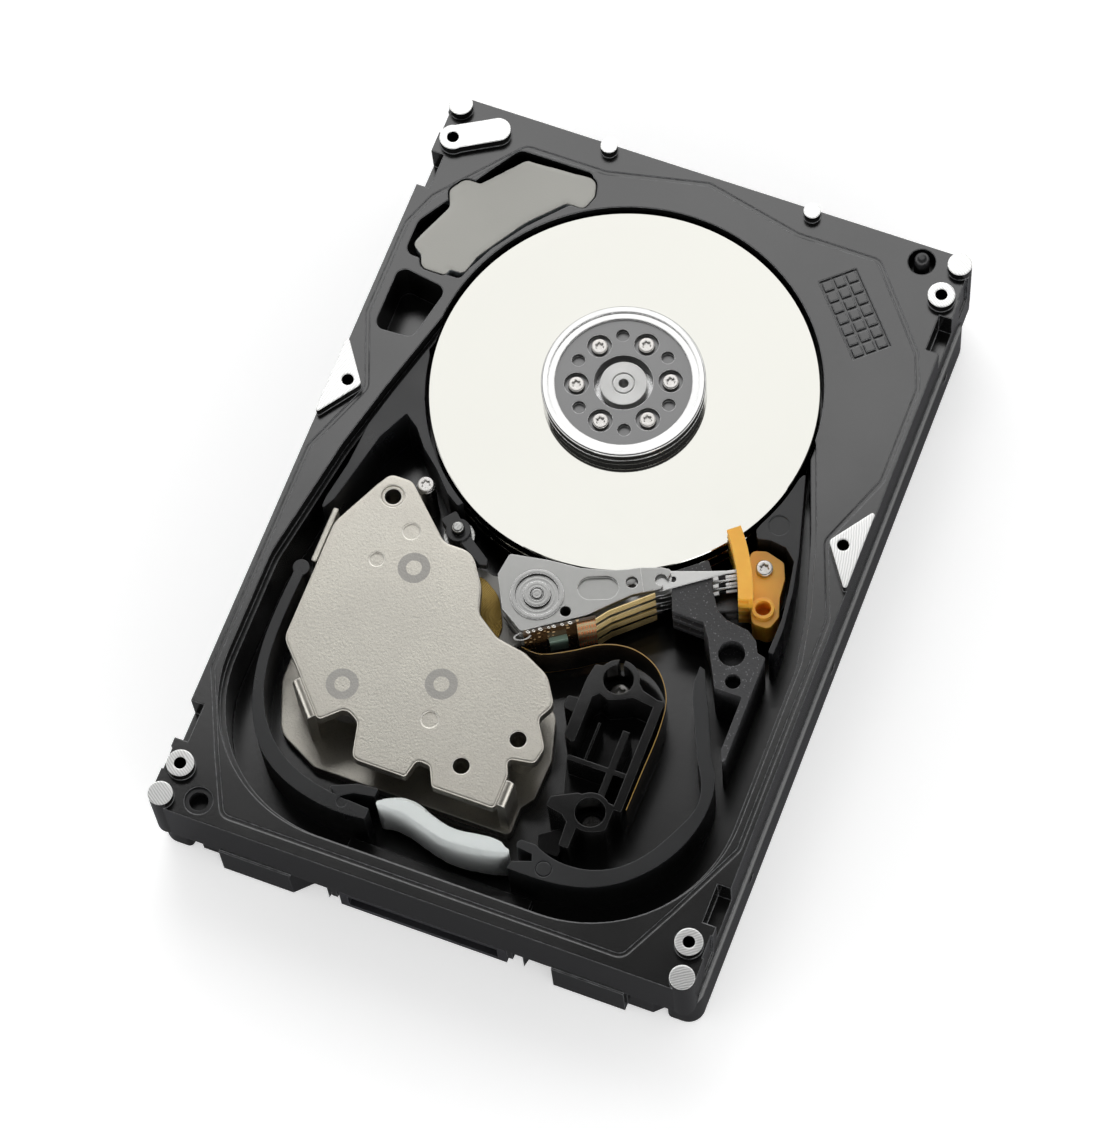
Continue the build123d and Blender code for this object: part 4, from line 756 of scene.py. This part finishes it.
def makePad():
    thing = copyNode("filter_pad", "filterPad")
    puffed(thing, **padLook)
    mounted(thing, "base", finishes["filter_film"], ["filter_pad"])


makePad()
print("filter pad ready")


pouchLook = {"voxel": 0.00045, "pressure": 4.0, "cap": 0.0006}


def makePouch():
    thing = copyNode("filter_pouch", "filterPouch")
    puffed(thing, **pouchLook)
    mounted(thing, "base", finishes["filter_cloth"], ["filter_pouch"])


makePouch()
print("filter pouch ready")

# flex ribbon and arm board details

def filmRibbonFinish():
    # glossy film painted near-black, a painted dark reflection over the amber film; the cut edges along top
    # and bottom are painted amber, a painted highlight
    material, tree, shader = newMaterial("ribbonFilm", Coat_Weight=0.6, Coat_Roughness=0.08)
    where = objectCoords(tree)
    split = tree.nodes.new("ShaderNodeSeparateXYZ")
    wire(tree, where, split.inputs[0])
    low, high = ribbonLook["low"] * mm, ribbonLook["high"] * mm
    # painted highlight: bands along the top and bottom edges are painted amber
    upper = mathNode(tree, "GREATER_THAN", split.outputs["Z"], high - ribbonLook["lip"] * mm)
    lower = mathNode(tree, "LESS_THAN", split.outputs["Z"], low + ribbonLook["lip"] * mm)
    lip = mathNode(tree, "MAXIMUM", upper, lower)
    slow = noise(tree, where, 350.0)
    # painted reflection: the film's face is painted near-black
    paintedDarkReflection = mixColour(tree, slow, (0.012, 0.009, 0.007), (0.035, 0.024, 0.014))
    wire(tree, mixColour(tree, lip, paintedDarkReflection, (0.50, 0.30, 0.07)), shader.inputs["Base Color"])
    wire(tree, fitRange(tree, slow, 0.3, 0.7, 0.14, 0.26), shader.inputs["Roughness"])
    lanes = mathNode(tree, "SINE", mathNode(tree, "MULTIPLY", split.outputs["Z"], 2 * math.pi / (0.5 * mm)))
    bumped(tree, shader, lanes, 0.12, 0.00002)
    return material


ribbonLook = {
    "route": ((-0.3, -22.6), (3.4, -22.7), (8.2, -20.3), (13.2, -17.2), (18.4, -16.3), (23.4, -18.2),
              (26.9, -22.8), (27.9, -29.0), (27.8, -38.0), (27.7, -44.6)),
    "low": 9.6,
    "high": 18.4,
    "lip": 0.14,
    "thickness": 0.12,
    "steps": 14,
    "levels": 6,
    "bendFrom": (2.0, -22.0, 14.0),
    "bendTo": (25.5, -24.0, 14.0),
}


def eased(points, steps):
    # points along a smooth curve through the given ones
    ends = [points[0], *points, points[-1]]
    line = []
    for index in range(1, len(ends) - 2):
        before, here, after, beyond = ends[index - 1:index + 3]
        for step in range(steps):
            t = step / steps
            line.append([0.5 * (2 * here[k] + (after[k] - before[k]) * t
                                + (2 * before[k] - 5 * here[k] + 4 * after[k] - beyond[k]) * t * t
                                + (3 * here[k] - before[k] - 3 * after[k] + beyond[k]) * t ** 3)
                         for k in (0, 1)])
    line.append(list(points[-1]))
    return line


def makeRibbon():
    look = ribbonLook
    line = eased(look["route"], look["steps"])
    half = look["thickness"] / 2
    sides = {1: [], -1: []}
    for index, here in enumerate(line):
        before, after = line[max(index - 1, 0)], line[min(index + 1, len(line) - 1)]
        along = Vector((after[0] - before[0], after[1] - before[1])).normalized()
        for side in sides:
            sides[side].append((here[0] - along.y * half * side, here[1] + along.x * half * side))
    outline = sides[1] + sides[-1][::-1]
    count = len(line)
    bpy.ops.mesh.primitive_grid_add(x_subdivisions=count - 1, y_subdivisions=1, size=1)
    thing = named("flexRibbon")
    rows = sorted(thing.data.vertices, key=lambda vertex: (round(vertex.co.y, 4), vertex.co.x))
    for number, vertex in enumerate(rows):
        x, y = outline[number] if number < count else sides[-1][number - count]
        vertex.co = (x * mm, y * mm, look["low"] * mm)
    editMode(thing)
    bpy.ops.mesh.select_all(action="SELECT")
    rise = (look["high"] - look["low"]) / look["levels"]
    for level in range(look["levels"]):
        bpy.ops.mesh.extrude_region_move(TRANSFORM_OT_translate={"value": (0, 0, rise * mm)})
    objectMode()
    outward(thing)
    smooth(thing, 40)
    mounted(thing, None, filmRibbonFinish(), ["flex_ribbon"])
    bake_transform(thing)


makeRibbon()
print("ribbon ready")

boardLook = {
    "start": (-0.35, -21.25),
    "angle": 33.3,
    "block": (9.5, 12.9, 0.5, 0.85, 11.4, 22.0),   # along the board, away from it, low and high
    "rows": (12.4, 15.0, 17.6, 20.2),
    "columns": 7,
    "solder": ((0.9, 0.34), (1.9, 0.28), (3.1, 0.36), (4.6, 0.26), (5.5, 0.34), (7.0, 0.3), (8.4, 0.36)),
    "clip": (-0.2, 1.05, 0.16, 21.0),
}


def onBoard(along, away):
    angle = math.radians(boardLook["angle"])
    x, y = boardLook["start"]
    return (x + along * math.cos(angle) + away * math.sin(angle),
            y + along * math.sin(angle) - away * math.cos(angle))


def boardBox(name, along, away, low, high, width, depth, round_):
    # a box lying on the arm board, softened at its edges
    x, y = onBoard(along, away)
    bpy.ops.mesh.primitive_cube_add(size=1, location=(x * mm, y * mm, (low + high) / 2 * mm))
    thing = named(name)
    thing.scale = (width * mm, depth * mm, (high - low) * mm)
    thing.rotation_euler = (0, 0, math.radians(boardLook["angle"]))
    settle(thing)
    applyModifier(thing, "BEVEL", width=round_ * mm, segments=2)
    return smooth(thing)


def makeBoardDetails():
    look = boardLook
    first, last, near, far, low, high = look["block"]
    block = boardBox("padBlock", (first + last) / 2, (near + far) / 2, low, high, last - first, far - near,
                     0.06)
    mounted(block, "actuator", finishes["pad_beige"])
    pitch = (last - first) / look["columns"]
    pads = []
    for row in look["rows"]:
        for column in range(look["columns"]):
            along = first + (column + 0.5) * pitch
            pads.append(boardBox("pad", along, far + 0.06, row - 0.7, row + 0.7, pitch * 0.55, 0.16, 0.03))
    # the upper ends of the columns show from above as a row of stripes
    for column in range(look["columns"]):
        along = first + (column + 0.5) * pitch
        pads.append(boardBox("pad", along, (near + far) / 2, high - 0.1, high + 0.12, pitch * 0.55, 0.3,
                             0.03))
    mounted(joined(pads, "orangePads"), "actuator", finishes["pad_orange"])
    blobs = []
    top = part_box("arm_flex_board")[1].z / mm
    for along, size in look["solder"]:
        x, y = onBoard(along, 0.3)
        bpy.ops.mesh.primitive_uv_sphere_add(segments=16, ring_count=10, radius=size * mm,
                                             location=(x * mm, y * mm, (top - 0.1) * mm))
        blob = named("solderBlob")
        blob.scale = (1.3, 0.9, 0.75)
        settle(blob)
        blobs.append(blob)
    solder = joined(blobs, "solderBlobs")
    pick(solder)
    bpy.ops.object.shade_smooth()
    mounted(solder, "actuator", finishes["solder"])
    along, radius, thick, level = look["clip"]
    x, y = onBoard(along, 0.3)
    bpy.ops.mesh.primitive_torus_add(major_segments=40, minor_segments=10, major_radius=radius * mm,
                                     minor_radius=thick * mm, location=(x * mm, y * mm, level * mm))
    clip = named("boardClip")
    clip.scale = (1.35, 0.62, 1.4)
    clip.rotation_euler = (0, 0, math.radians(look["angle"]))
    settle(clip)
    pick(clip)
    bpy.ops.object.shade_smooth()
    mounted(clip, "actuator", finishes["clear_clip"])


makeBoardDetails()
print("arm board details ready")
